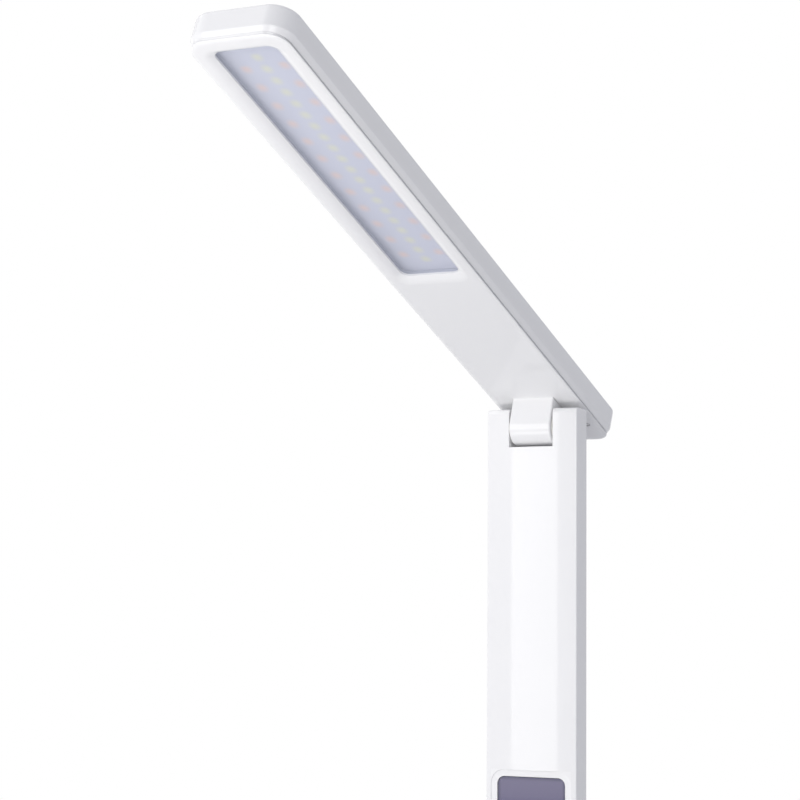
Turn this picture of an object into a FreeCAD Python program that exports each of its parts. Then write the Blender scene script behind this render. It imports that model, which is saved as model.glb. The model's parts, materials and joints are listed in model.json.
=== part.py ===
import FreeCAD, Part
import Sketcher
import math
import os
import re

# A folding table lamp in three bodies: a base, a stem that folds on it and a head that tilts on the stem.
# The row frame has +Z up, the front towards -Y, and its origin under the middle of the base.

# Driving sizes, in millimetres and degrees
sizes = {
    # Clearances, and the overrun of cuts
    "cut_over": 2.0,
    "fit_gap": 0.2,
    "seam_gap": 0.4,
    "pin_gap": 0.05,
    # Hinges: a knuckle between two ears, on two hollow stub pins
    "hinge_reach": 9.8,
    "barrel_radius": 7.0,
    "tongue_root": 15.8,
    "slot_gap": 0.8,
    "slot_sill": 1.2,
    "ear_gap": 2.1,
    "ear_width": 10.2,
    "ear_wall": 3.5,
    "pin_radius": 2.0,
    "pin_bore_radius": 1.2,
    "pin_end": 3.1,
    "pin_room": 0.1,
    "pin_flange_length": 1.2,
    "washer_radius": 5.5,
    "washer_thickness": 0.5,
    "washer_gap": 0.1,
    # Wires
    "wire_radius": 0.8,
    "wire_bend": 2.2,
    "wire_land": 5.0,
    "channel_radius": 1.8,
    # Screws and the bosses they go into
    "screw_radius": 1.0,
    "screw_head_radius": 1.9,
    "screw_head": 1.2,
    "screw_sink": 1.4,
    "boss_radius": 2.6,
    # Circuit boards
    "board_thickness": 1.2,
    # Head
    "head_tilt": 23.3,
    "head_tip": 260.9,
    "head_tail": 31.7,
    "head_width": 40.0,
    "head_height": 12.4,
    "head_corner": 9.0,
    "tail_corner": 7.0,
    "head_edge": 1.5,
    "cover_edge": 1.4,
    "head_wall": 2.0,
    "rim_edge": 0.5,
    # Head's bottom frame
    "frame_inset": 0.2,
    "frame_rim": 1.1,
    "frame_plate": 2.2,
    "frame_edge": 0.7,
    "slope_depth": 1.4,
    "slope_side": 3.45,
    "slope_tip": 3.2,
    "slope_hinge": 4.9,
    "slope_corner": 6.0,
    "rail_wall": 1.5,
    # Lens
    "lens_start": 105.2,
    "lens_tip_margin": 8.7,
    "lens_side_margin": 7.7,
    "lens_corner": 3.5,
    "lens_lap": 1.2,
    "lens_thickness": 2.0,
    # LEDs and their board
    "led_room": 1.2,
    "led_tab": 6.0,
    "led_width": 2.8,
    "led_length": 3.5,
    "led_height": 0.8,
    "cool_near": 6.6,
    "cool_far": 8.6,
    "cool_count": 20,
    "warm_near": 10.8,
    "warm_far": 14.4,
    "warm_side": 7.45,
    "warm_count": 12,
    # Knuckle flange inside the head
    "flange_thickness": 1.9,
    "flange_lap": 5.5,
    "flange_side": 2.0,
    "flange_corner": 2.0,
    "knuckle_boss_radius": 1.9,
    "knuckle_screw_inset": 3.0,
    "tail_screw_side": 6.7,
    # Stem
    "stem_width": 40.0,
    "stem_front": 5.8,
    "stem_rear": 6.2,
    "stem_crown": 1.5,
    "stem_skin": 1.5,
    "stem_wall": 2.0,
    "stem_front_edge": 0.4,
    "stem_rear_edge": 1.2,
    "stem_end_edge": 1.2,
    "fold_clearance": 18.1,
    "stem_screw_drop": 16.0,
    # Display
    "window_low": 60.2,
    "window_height": 78.0,
    "window_side": 5.15,
    "window_corner": 3.0,
    "window_sink": 0.4,
    "bezel_margin": 2.9,
    "display_lap": 1.0,
    "display_thickness": 1.8,
    "display_board_inset": 2.35,
    # Set buttons, their switches and the clock's coin cell
    "button_radius": 2.4,
    "button_proud": 0.4,
    "button_travel": 0.5,
    "button_gap": 0.1,
    "button_flange_radius": 3.2,
    "button_flange": 0.8,
    "button_tip_radius": 1.2,
    "button_drop": 16.0,
    "button_pitch": 12.0,
    "switch_size": 4.5,
    "switch_height": 1.0,
    "cell_radius": 6.25,
    "cell_thickness": 2.0,
    "cell_gap": 9.5,
    "clip_width": 4.0,
    "clip_thickness": 0.3,
    # Base
    "base_width": 160.0,
    "base_depth": 124.0,
    "base_height": 17.0,
    "base_corner": 20.0,
    "base_edge": 4.0,
    "base_wall": 2.4,
    "base_screw_inset": 20.0,
    "bottom_rim": 1.6,
    "bottom_plate": 3.2,
    "pad_thickness": 1.5,
    "pad_proud": 0.8,
    "pad_margin": 10.0,
    "fold_gap": 1.2,
    # Hinge post on the base
    "post_inset": 24.0,
    "post_root": 11.6,
    "post_screw_inset": 7.0,
    "post_screw_depth": 7.0,
    # Base's contents
    "ballast_room": 1.4,
    "ballast_front": 10.0,
    "ballast_side": 28.0,
    "ballast_gap": 8.0,
    "ballast_corner": 6.0,
    "touch_side": 30.0,
    "touch_depth": 18.0,
    "touch_front": 13.0,
    "touch_thickness": 0.8,
    "touch_corner": 4.0,
    "touch_board_inset": 3.0,
    "standoff_radius": 2.5,
    "standoff_inset": 4.0,
    "driver_width": 36.0,
    "driver_depth": 22.0,
    "driver_side": 28.0,
    # Power socket
    "socket_length": 16.0,
    "socket_flange": 0.8,
    "socket_wall": 0.6,
    "socket_lip": 1.0,
    "socket_hole_radius": 2.8,
    "socket_hole_depth": 10.0,
    "contact_radius": 1.0,
    "contact_recess": 1.0,
    "contact_tail": 5.0,
}

# Sizes and places that follow from the driving sizes
derived = {
    # Where the two hinge axes are
    "hinge_spacing": "head_tip + fold_clearance",
    "post_height": "hinge_reach + head_height + fold_gap",
    "axis_height": "base_height + post_height",
    "hinge_back": "base_depth / 2 - post_inset",
    # Hinges
    "slot_half": "stem_half - ear_width",
    "barrel_width": "2 * (slot_half - washer_thickness - 2 * washer_gap)",
    "slot_depth": "barrel_radius + slot_gap",
    "ear_reach": "hinge_reach - ear_gap",
    "ear_inner": "slot_half + ear_wall",
    "pin_flange_radius": "front_floor - pin_room",
    "pin_hole_radius": "pin_radius + pin_gap",
    "screw_hole_radius": "screw_radius + pin_gap",
    "screw_well_radius": "screw_head_radius + fit_gap",
    # Head, from its underside up
    "rim_top": "hinge_reach + frame_rim",
    "plate_top": "hinge_reach + frame_plate",
    "cover_low": "rim_top + seam_gap",
    "cover_top": "hinge_reach + head_height",
    "cover_ceiling": "cover_top - head_wall",
    "led_board_low": "plate_top + lens_thickness + led_room + led_height",
    "head_half": "head_width / 2",
    "head_inner": "head_half - head_wall",
    # Lens, in distances from the hinge axis towards the tip
    "lens_end": "head_tip - lens_tip_margin",
    "lens_half": "head_half - lens_side_margin",
    "lens_outer": "lens_lap + fit_gap",
    "rail_outer": "lens_outer + rail_wall",
    "led_board_lap": "rail_outer - fit_gap",
    # Knuckle flange and the screws near the tail
    "flange_half_length": "tongue_root / 2 + flange_lap",
    "flange_half_width": "barrel_width / 2 + flange_side",
    "knuckle_screw_side": "barrel_width / 2 - knuckle_screw_inset",
    "knuckle_screw_reach": "tongue_root / 2 + flange_lap / 2",
    "flange_top": "plate_top + flange_thickness",
    "tail_screw_reach": "flange_half_length + boss_radius + fit_gap",
    "tail_screw_across": "head_half - tail_screw_side",
    # Stem, from the lower hinge axis up and from the axis plane to front and back
    "stem_low": "0 - ear_reach",
    "stem_high": "hinge_spacing + ear_reach",
    "stem_half": "stem_width / 2",
    "cavity_half": "stem_half - stem_wall",
    "side_plane": "stem_front - stem_crown",
    "front_floor": "side_plane - stem_skin",
    "rear_floor": "stem_rear - stem_wall",
    "crown_radius": "(stem_half * stem_half + stem_crown * stem_crown) / (2 * stem_crown)",
    "cavity_low": "slot_depth + stem_wall",
    "cavity_high": "hinge_spacing - slot_depth - stem_wall",
    "wire_side": "(ear_inner + cavity_half) / 2",
    # Display
    "window_high": "window_low + window_height",
    "window_half": "stem_half - window_side",
    "display_rear": "display_thickness - front_floor",
    "board_rear": "display_rear + board_thickness",
    "button_tip": "board_rear + switch_height + button_travel + button_gap",
    "button_seat": "rear_floor - button_gap",
    "lowest_button": "window_high - button_drop - 2 * button_pitch",
    "cell_height": "lowest_button - switch_size / 2 - cell_gap - cell_radius",
    "cell_rear": "board_rear + cell_thickness",
    # Base, from the table up
    "base_half_width": "base_width / 2",
    "base_half_depth": "base_depth / 2",
    "base_ceiling": "base_height - base_wall",
    "bottom_rim_top": "pad_proud + bottom_rim",
    "bottom_top": "pad_proud + bottom_plate",
    "base_cover_low": "bottom_rim_top + seam_gap",
    "socket_height": "(bottom_top + base_ceiling) / 2",
    "socket_radius": "socket_hole_radius + socket_wall",
    "socket_flange_radius": "socket_radius + socket_lip",
    "driver_top": "socket_height - contact_radius",
    "driver_low": "driver_top - board_thickness",
    "driver_right": "base_half_width - driver_side",
    "driver_left": "driver_right - driver_width",
    "driver_back": "base_half_depth - socket_length - fit_gap",
    "driver_front": "driver_back - driver_depth",
    "socket_across": "driver_right - driver_width / 2",
    "socket_inner": "base_half_depth - socket_length",
    "ballast_thickness": "base_ceiling - board_thickness - ballast_room - bottom_top",
    "touch_width": "base_width - 2 * touch_side",
    "touch_low": "touch_front - base_half_depth",
    "touch_high": "touch_low + touch_depth",
    "base_screw_across": "base_half_width - base_screw_inset",
    "base_screw_along": "base_half_depth - base_screw_inset",
    "base_screw_seat": "pad_thickness + screw_head",
    "post_screw_across": "stem_half - post_screw_inset",
}

doc = FreeCAD.newDocument("FoldingTableLamp")
sheet = doc.addObject("Spreadsheet::Sheet", "Sizes")
for row, (alias, number) in enumerate(sizes.items(), start=1):
    sheet.set(f"A{row}", alias)
    sheet.set(f"B{row}", str(number))
    sheet.setAlias(f"B{row}", alias)
doc.recompute()

nodes = []
near = 1e-4


# Formulas: names in a text become cells of the sheet, and derived names become their own formulas

def expand(text):
    def swap(match):
        word = match.group(0)
        if word in sizes:
            return f"Sizes.{word}"
        if word in derived:
            return f"({expand(derived[word])})"
        return word
    return re.sub(r"[a-z_]+", swap, text)


def value(text):
    return float(sheet.evalExpression(expand(text)))


def bind(item, **formulas):
    for path, text in formulas.items():
        item.setExpression(path, expand(text))


# Frames: the base stands in the row frame, the stem starts at the lower hinge axis, the head at the upper

def frame_formulas(frame):
    if frame == "base":
        return {}
    if frame == "stem":
        return {"Placement.Base.y": "hinge_back", "Placement.Base.z": "axis_height"}
    return {
        "Placement.Base.y": "hinge_back",
        "Placement.Base.z": "axis_height + hinge_spacing",
        "Placement.Rotation.Angle": "head_tilt",
    }


def frame_placement(frame):
    place = FreeCAD.Placement()
    if frame != "base":
        place.Base = FreeCAD.Vector(0, value("hinge_back"), value("axis_height"))
    if frame == "head":
        place.Base.z += value("hinge_spacing")
        place.Rotation = FreeCAD.Rotation(FreeCAD.Vector(-1, 0, 0), value("head_tilt"))
    return place


def new_body(label, frame):
    body = doc.addObject("PartDesign::Body", label)
    body.Label = label
    body.AllowCompound = True
    body.Placement = frame_placement(frame)
    bind(body, **frame_formulas(frame))
    nodes.append(body)
    return body


# Sketches: XY looks down +Z, XZ has its normal towards -Y, YZ has its normal towards +X

def sketch_on(body, plane, height):
    sketch = body.newObject("Sketcher::SketchObject", "sketch")
    support = next(item for item in body.Origin.OriginFeatures if item.Role == f"{plane}_Plane")
    sketch.AttachmentSupport = [(support, "")]
    sketch.MapMode = "FlatFace"
    sketch.setExpression("AttachmentOffset.Base.z", expand(height))
    return sketch


def measure(sketch, kind, *where, text):
    index = sketch.addConstraint(Sketcher.Constraint(kind, *where, value(text)))
    sketch.setExpression(f"Constraints[{index}]", expand(text))


def hold(sketch, edge, end, across, along):
    for kind, axis, text in (("DistanceX", -2, across), ("DistanceY", -1, along)):
        if text == "0":
            sketch.addConstraint(Sketcher.Constraint("PointOnObject", edge, end, axis))
        else:
            measure(sketch, kind, -1, 1, edge, end, text=text)


def line(sketch, start, end):
    return sketch.addGeometry(Part.LineSegment(FreeCAD.Vector(*start), FreeCAD.Vector(*end)))


def arc(sketch, centre, radius, first, last):
    whole = Part.Circle(FreeCAD.Vector(*centre), FreeCAD.Vector(0, 0, 1), radius)
    return sketch.addGeometry(Part.ArcOfCircle(whole, math.radians(first), math.radians(last)))


def polygon(sketch, corners):
    spots = [(value(across), value(along)) for across, along in corners]
    edges = [line(sketch, start, end) for start, end in zip(spots, spots[1:] + spots[:1])]
    for edge, after, (across, along) in zip(edges, edges[1:] + edges[:1], corners):
        sketch.addConstraint(Sketcher.Constraint("Coincident", edge, 2, after, 1))
        hold(sketch, edge, 1, across, along)


def rectangle(sketch, left, right, low, high):
    polygon(sketch, [(left, low), (right, low), (right, high), (left, high)])


def rounded_rectangle(sketch, left, right, low, high, radius, far_radius=None):
    # The corners at the high end may have a radius of their own
    radii = (radius, far_radius or radius)
    x_low, x_high, y_low, y_high = (value(text) for text in (left, right, low, high))
    bend, far = (value(text) for text in radii)
    lines = [
        line(sketch, (x_low + bend, y_low), (x_high - bend, y_low)),
        line(sketch, (x_high, y_low + bend), (x_high, y_high - far)),
        line(sketch, (x_high - far, y_high), (x_low + far, y_high)),
        line(sketch, (x_low, y_high - far), (x_low, y_low + bend)),
    ]
    arcs = [
        arc(sketch, (x_high - bend, y_low + bend), bend, -90, 0),
        arc(sketch, (x_high - far, y_high - far), far, 0, 90),
        arc(sketch, (x_low + far, y_high - far), far, 90, 180),
        arc(sketch, (x_low + bend, y_low + bend), bend, 180, 270),
    ]
    for edge, corner, after in zip(lines, arcs, lines[1:] + lines[:1]):
        sketch.addConstraint(Sketcher.Constraint("Tangent", edge, 2, corner, 1))
        sketch.addConstraint(Sketcher.Constraint("Tangent", corner, 2, after, 1))
    for kind, edge in zip(("Horizontal", "Vertical", "Horizontal", "Vertical"), lines):
        sketch.addConstraint(Sketcher.Constraint(kind, edge))
    for first, second, text in ((0, 3, radii[0]), (1, 2, radii[1])):
        sketch.addConstraint(Sketcher.Constraint("Equal", arcs[first], arcs[second]))
        measure(sketch, "Radius", arcs[first], text=text)
    for kind, edge, text in zip(("DistanceY", "DistanceX") * 2, lines, (low, right, high, left)):
        measure(sketch, kind, -1, 1, edge, 1, text=text)


def circle(sketch, across, along, radius):
    ring = Part.Circle(FreeCAD.Vector(value(across), value(along)), FreeCAD.Vector(0, 0, 1), value(radius))
    edge = sketch.addGeometry(ring)
    hold(sketch, edge, 3, across, along)
    measure(sketch, "Radius", edge, text=radius)


def circles(sketch, places, radius):
    for across, along in places:
        circle(sketch, across, along, radius)


# Features

def extrude(body, kind, sketch, length, back, both):
    feature = body.newObject(f"PartDesign::{kind}", kind.lower())
    feature.Profile = sketch
    bind(feature, Length=length)
    feature.Reversed = back
    if both:
        feature.SideType = "Symmetric"
    return feature


def pad(body, sketch, length, back=False, both=False):
    return extrude(body, "Pad", sketch, length, back, both)


def pocket(body, sketch, length, back=False, both=False):
    return extrude(body, "Pocket", sketch, length, back, both)


def loft_cut(body, first, last):
    feature = body.newObject("PartDesign::SubtractiveLoft", "loft")
    feature.Profile = first
    feature.Sections = [last]
    feature.Ruled = True
    return feature


def fillet(body, base, radius, chosen):
    doc.recompute()
    feature = body.newObject("PartDesign::Fillet", "fillet")
    feature.Base = (base, [f"Edge{number}" for number, edge in enumerate(base.Shape.Edges, start=1)
                           if chosen(edge)])
    bind(feature, Radius=radius)
    return feature


def row_pattern(body, original, sketch, length, count):
    feature = body.newObject("PartDesign::LinearPattern", "row")
    feature.Originals = [original]
    feature.Direction = (sketch, ["V_Axis"])
    feature.Reversed = True
    bind(feature, Length=length, Occurrences=count)
    body.Tip = feature


def lies_at(edge, axis, place):
    spots = [corner.Point for corner in edge.Vertexes] + [edge.CenterOfMass]
    return all(abs(getattr(spot, axis) - place) < near for spot in spots)


def upright(edge):
    box = edge.BoundBox
    return box.XLength < near and box.YLength < near


def plate(label, frame, plane, height, outline, thickness, back=False):
    body = new_body(label, frame)
    sketch = sketch_on(body, plane, height)
    outline(sketch)
    pad(body, sketch, thickness, back)


def screws(label, frame, plane, places, seat, length, head_back):
    body = new_body(label, frame)
    for radius, reach, back in (("screw_head_radius", "screw_head", head_back),
                                ("screw_radius", length, not head_back)):
        sketch = sketch_on(body, plane, seat)
        circles(sketch, places, radius)
        pad(body, sketch, reach, back)


def wire(label, frame, route):
    points = [FreeCAD.Vector(*(value(text) for text in point)) for point in route]
    radius = value("wire_radius")
    bend = value("wire_bend")
    start = points[0]
    edges = []
    for before, corner, after in zip(points, points[1:], points[2:]):
        back = (before - corner).normalize()
        ahead = (after - corner).normalize()
        centre = corner + (back + ahead) * bend
        middle = centre - (back + ahead).normalize() * bend
        edges.append(Part.LineSegment(start, corner + back * bend).toShape())
        edges.append(Part.Arc(corner + back * bend, middle, corner + ahead * bend).toShape())
        start = corner + ahead * bend
    edges.append(Part.LineSegment(start, points[-1]).toShape())
    section = Part.Wire([Part.Circle(points[0], points[1] - points[0], radius).toShape()])
    feature = doc.addObject("Part::Feature", label)
    feature.Label = label
    feature.Shape = Part.Wire(edges).makePipeShell([section], True, False)
    feature.Placement = frame_placement(frame)
    nodes.append(feature)


# Hinge knuckles: a barrel on the axis and a tongue that runs tangent to it from its root

def barrel_and_tongue(body, root, reach, side):
    radius = value("barrel_radius")
    half = value(f"{root} / 2")
    height = value(reach)
    # Angle, from the horizontal, of the point where the tongue's flank touches the barrel
    touch = math.degrees(math.acos(radius / math.hypot(half, height)) - math.atan2(height, half))
    across = radius * math.cos(math.radians(touch))
    along = -side * radius * math.sin(math.radians(touch))
    sketch = sketch_on(body, "YZ", "0")
    first, last = (180 + touch, 360 - touch) if side > 0 else (touch, 180 - touch)
    barrel = arc(sketch, (0, 0), radius, first, last)
    flank_in = line(sketch, (-side * half, side * height), (-side * across, along))
    flank_out = line(sketch, (side * across, along), (side * half, side * height))
    foot = line(sketch, (side * half, side * height), (-side * half, side * height))
    sketch.addConstraint(Sketcher.Constraint("Coincident", barrel, 3, -1, 1))
    measure(sketch, "Radius", barrel, text="barrel_radius")
    sketch.addConstraint(Sketcher.Constraint("Tangent", flank_in, 2, barrel, 1))
    sketch.addConstraint(Sketcher.Constraint("Tangent", barrel, 2, flank_out, 1))
    sketch.addConstraint(Sketcher.Constraint("Coincident", flank_out, 2, foot, 1))
    sketch.addConstraint(Sketcher.Constraint("Coincident", foot, 2, flank_in, 1))
    hold(sketch, foot, 1, f"{side} * {root} / 2", f"{side} * {reach}")
    hold(sketch, foot, 2, f"{-side} * {root} / 2", f"{side} * {reach}")
    pad(body, sketch, "barrel_width", both=True)


def bore_and_channel(body, length, back):
    sketch = sketch_on(body, "YZ", "0")
    circle(sketch, "0", "0", "pin_hole_radius")
    pocket(body, sketch, "barrel_width + 2 * cut_over", both=True)
    sketch = sketch_on(body, "XY", "0")
    circle(sketch, "0", "0", "channel_radius")
    pocket(body, sketch, length, back)


# Head outline: a rounded rectangle that is drawn in by an inset

def head_outline(sketch, inset):
    rounded_rectangle(sketch, f"{inset} - head_half", f"head_half - {inset}",
                      f"{inset} - head_tip", f"head_tail - {inset}", f"head_corner - {inset}",
                      f"tail_corner - {inset}")


def lens_outline(sketch, growth):
    rounded_rectangle(sketch, f"0 - lens_half - {growth}", f"lens_half + {growth}",
                      f"0 - lens_end - {growth}", f"{growth} - lens_start", f"lens_corner + {growth}")


tail_screw_places = [(f"{sign} tail_screw_across", "tail_screw_reach") for sign in ("0 -", "0 +")]
knuckle_screw_places = [(f"{left} knuckle_screw_side", f"{front} knuckle_screw_reach")
                        for left in ("0 -", "0 +") for front in ("0 -", "0 +")]


def head_top_cover():
    body = new_body("head_top_cover", "head")
    sketch = sketch_on(body, "XY", "cover_low")
    head_outline(sketch, "0")
    shell = pad(body, sketch, "cover_top - cover_low")
    top = value("cover_top")
    shell = fillet(body, shell, "head_edge", lambda edge: lies_at(edge, "z", top))
    low = value("cover_low")
    fillet(body, shell, "cover_edge", lambda edge: lies_at(edge, "z", low))
    sketch = sketch_on(body, "XY", "cover_low")
    head_outline(sketch, "head_wall")
    pocket(body, sketch, "cover_ceiling - cover_low", back=True)
    sketch = sketch_on(body, "XY", "plate_top")
    circles(sketch, tail_screw_places, "boss_radius")
    pad(body, sketch, "cover_ceiling - plate_top")
    sketch = sketch_on(body, "XY", "plate_top")
    circles(sketch, tail_screw_places, "screw_hole_radius")
    pocket(body, sketch, "cover_ceiling - plate_top", back=True)


def head_bottom_frame():
    body = new_body("head_bottom_frame", "head")
    sketch = sketch_on(body, "XY", "hinge_reach")
    head_outline(sketch, "frame_inset")
    rim = pad(body, sketch, "frame_rim")
    low = value("hinge_reach")
    fillet(body, rim, "frame_edge", lambda edge: lies_at(edge, "z", low))
    sketch = sketch_on(body, "XY", "rim_top")
    head_outline(sketch, "(head_wall + fit_gap)")
    pad(body, sketch, "plate_top - rim_top")
    # Rails round the lens that carry the LED board
    sketch = sketch_on(body, "XY", "plate_top")
    lens_outline(sketch, "rail_outer")
    lens_outline(sketch, "lens_outer")
    pad(body, sketch, "led_board_low - plate_top")
    # Sloped opening below the lens
    outer = sketch_on(body, "XY", "hinge_reach")
    rounded_rectangle(outer, "0 - lens_half - slope_side", "lens_half + slope_side",
                      "0 - lens_end - slope_tip", "slope_hinge - lens_start", "slope_corner")
    inner = sketch_on(body, "XY", "hinge_reach + slope_depth")
    lens_outline(inner, "0")
    loft_cut(body, outer, inner)
    sketch = sketch_on(body, "XY", "hinge_reach + slope_depth")
    lens_outline(sketch, "0")
    pocket(body, sketch, "frame_plate - slope_depth + cut_over", back=True)
    # Opening for the knuckle's tongue, and bosses that its flange fits over
    sketch = sketch_on(body, "XY", "hinge_reach")
    rectangle(sketch, "0 - barrel_width / 2 - fit_gap", "barrel_width / 2 + fit_gap",
              "0 - tongue_root / 2 - fit_gap", "tongue_root / 2 + fit_gap")
    pocket(body, sketch, "frame_plate + cut_over", back=True)
    sketch = sketch_on(body, "XY", "plate_top")
    circles(sketch, knuckle_screw_places, "knuckle_boss_radius")
    pad(body, sketch, "flange_thickness")
    sketch = sketch_on(body, "XY", "rim_top")
    circles(sketch, knuckle_screw_places, "screw_hole_radius")
    pocket(body, sketch, "flange_top - rim_top", back=True)
    # Wells and holes for the screws near the tail
    sketch = sketch_on(body, "XY", "hinge_reach")
    circles(sketch, tail_screw_places, "screw_well_radius")
    pocket(body, sketch, "screw_sink", back=True)
    sketch = sketch_on(body, "XY", "hinge_reach")
    circles(sketch, tail_screw_places, "screw_hole_radius")
    pocket(body, sketch, "frame_plate + cut_over", back=True)


def head_hinge_knuckle():
    body = new_body("head_hinge_knuckle", "head")
    barrel_and_tongue(body, "tongue_root", "hinge_reach", 1)
    sketch = sketch_on(body, "XY", "hinge_reach")
    rectangle(sketch, "0 - barrel_width / 2", "barrel_width / 2", "0 - tongue_root / 2", "tongue_root / 2")
    pad(body, sketch, "frame_plate")
    sketch = sketch_on(body, "XY", "plate_top")
    rounded_rectangle(sketch, "0 - flange_half_width", "flange_half_width",
                      "0 - flange_half_length", "flange_half_length", "flange_corner")
    pad(body, sketch, "flange_thickness")
    bore_and_channel(body, "flange_top + cut_over", True)
    sketch = sketch_on(body, "XY", "plate_top")
    circles(sketch, knuckle_screw_places, "knuckle_boss_radius + fit_gap")
    pocket(body, sketch, "flange_thickness + cut_over", back=True)


def led_row(label, places, first, length, count):
    body = new_body(label, "head")
    sketch = sketch_on(body, "XY", "led_board_low")
    for across in places:
        rectangle(sketch, f"{across} - led_width / 2", f"{across} + led_width / 2",
                  f"0 - {first} - led_length / 2", f"led_length / 2 - {first}")
    chip = pad(body, sketch, "led_height", back=True)
    row_pattern(body, chip, sketch, length, count)


def build_head():
    head_top_cover()
    head_bottom_frame()
    head_hinge_knuckle()
    plate("diffuser_lens", "head", "XY", "plate_top",
          lambda sketch: lens_outline(sketch, "lens_lap"), "lens_thickness")
    plate("led_board", "head", "XY", "led_board_low",
          lambda sketch: rounded_rectangle(sketch, "0 - lens_half - led_board_lap",
                                           "lens_half + led_board_lap", "0 - lens_end - led_board_lap",
                                           "led_board_lap + led_tab - lens_start",
                                           "lens_corner + led_board_lap"),
          "board_thickness")
    led_row("cool_leds", ["0"], "(lens_start + cool_near)",
            "lens_end - cool_far - lens_start - cool_near", "cool_count")
    led_row("warm_leds", ["0 - warm_side", "0 + warm_side"], "(lens_start + warm_near)",
            "lens_end - warm_far - lens_start - warm_near", "warm_count")
    screws("knuckle_screws", "head", "XY", knuckle_screw_places, "flange_top",
           "flange_top - rim_top - fit_gap", False)
    screws("head_screws", "head", "XY", tail_screw_places, "hinge_reach + screw_sink",
           "cover_ceiling - hinge_reach - screw_sink - fit_gap", True)
    wire("head_wires", "head", [
        ("0 - pin_end", "0", "0"),
        ("0", "0", "0"),
        ("0", "0", "led_board_low - wire_radius"),
        ("0", "rail_outer + fit_gap - lens_start", "led_board_low - wire_radius"),
    ])


# Stem: two half shells that meet on the plane of the hinge axes

stem_screw_places = [("0", text) for text in (
    "slot_depth + stem_screw_drop",
    "window_low - stem_screw_drop",
    "window_high + stem_screw_drop",
    "hinge_spacing - slot_depth - stem_screw_drop",
)]
button_heights = [f"window_high - button_drop - {number} * button_pitch" for number in (0, 1, 2)]


def window_outline(sketch, growth):
    rounded_rectangle(sketch, f"0 - window_half - {growth}", f"window_half + {growth}",
                      f"window_low - {growth}", f"window_high + {growth}", f"window_corner + {growth}")


def crowned_front(sketch, rear):
    half = value("stem_half")
    side = value("side_plane")
    rear_edge = value(rear)
    radius = value("crown_radius")
    middle = radius - value("stem_front")
    spread = math.degrees(math.asin(half / radius))
    crown = arc(sketch, (0, middle), radius, 270 - spread, 270 + spread)
    right = line(sketch, (half, -side), (half, rear_edge))
    back = line(sketch, (half, rear_edge), (-half, rear_edge))
    left = line(sketch, (-half, rear_edge), (-half, -side))
    for before, after in ((crown, right), (right, back), (back, left), (left, crown)):
        sketch.addConstraint(Sketcher.Constraint("Coincident", before, 2, after, 1))
    measure(sketch, "Radius", crown, text="crown_radius")
    hold(sketch, right, 1, "stem_half", "0 - side_plane")
    hold(sketch, back, 1, "stem_half", rear)
    hold(sketch, left, 1, "0 - stem_half", rear)
    hold(sketch, left, 2, "0 - stem_half", "0 - side_plane")


def stem_hollow(body, floor, back):
    sketch = sketch_on(body, "XZ", "0")
    rectangle(sketch, "0 - cavity_half", "cavity_half", "cavity_low", "cavity_high")
    pocket(body, sketch, floor, back)
    for left, right in (("0 - cavity_half", "0 - ear_inner"), ("ear_inner", "cavity_half")):
        sketch = sketch_on(body, "XZ", "0")
        rectangle(sketch, left, right, "stem_low + stem_wall", "stem_high - stem_wall")
        pocket(body, sketch, floor, back)
    for low, high in (("stem_low - cut_over", "slot_depth"),
                      ("hinge_spacing - slot_depth", "stem_high + cut_over")):
        sketch = sketch_on(body, "XZ", "0")
        rectangle(sketch, "0 - slot_half", "slot_half", low, high)
        pocket(body, sketch, "2 * (stem_front + stem_rear)", both=True)
    sketch = sketch_on(body, "YZ", "0")
    circles(sketch, [("0", "0"), ("0", "hinge_spacing")], "pin_hole_radius")
    pocket(body, sketch, "2 * (ear_inner + pin_flange_length)", both=True)


def stem_front_cover():
    body = new_body("stem_front_cover", "stem")
    sketch = sketch_on(body, "XY", "stem_low")
    crowned_front(sketch, "0")
    shell = pad(body, sketch, "stem_high - stem_low")
    side = value("side_plane")
    shell = fillet(body, shell, "stem_front_edge", lambda edge: upright(edge) and lies_at(edge, "y", -side))
    ends = (value("stem_low"), value("stem_high"))
    fillet(body, shell, "stem_end_edge", lambda edge: not lies_at(edge, "y", 0) and any(
        lies_at(edge, "z", end) for end in ends))
    stem_hollow(body, "front_floor", True)
    # Flat recess round the display, and the window's opening
    sketch = sketch_on(body, "XZ", "side_plane")
    window_outline(sketch, "bezel_margin")
    pocket(body, sketch, "stem_crown + cut_over", back=True)
    sketch = sketch_on(body, "XZ", "front_floor")
    window_outline(sketch, "fit_gap")
    pocket(body, sketch, "stem_skin + cut_over", back=True)
    # Screw bosses
    sketch = sketch_on(body, "XZ", "front_floor")
    circles(sketch, stem_screw_places, "boss_radius")
    pad(body, sketch, "front_floor", back=True)
    sketch = sketch_on(body, "XZ", "0")
    circles(sketch, stem_screw_places, "screw_hole_radius")
    pocket(body, sketch, "front_floor", back=True)


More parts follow.
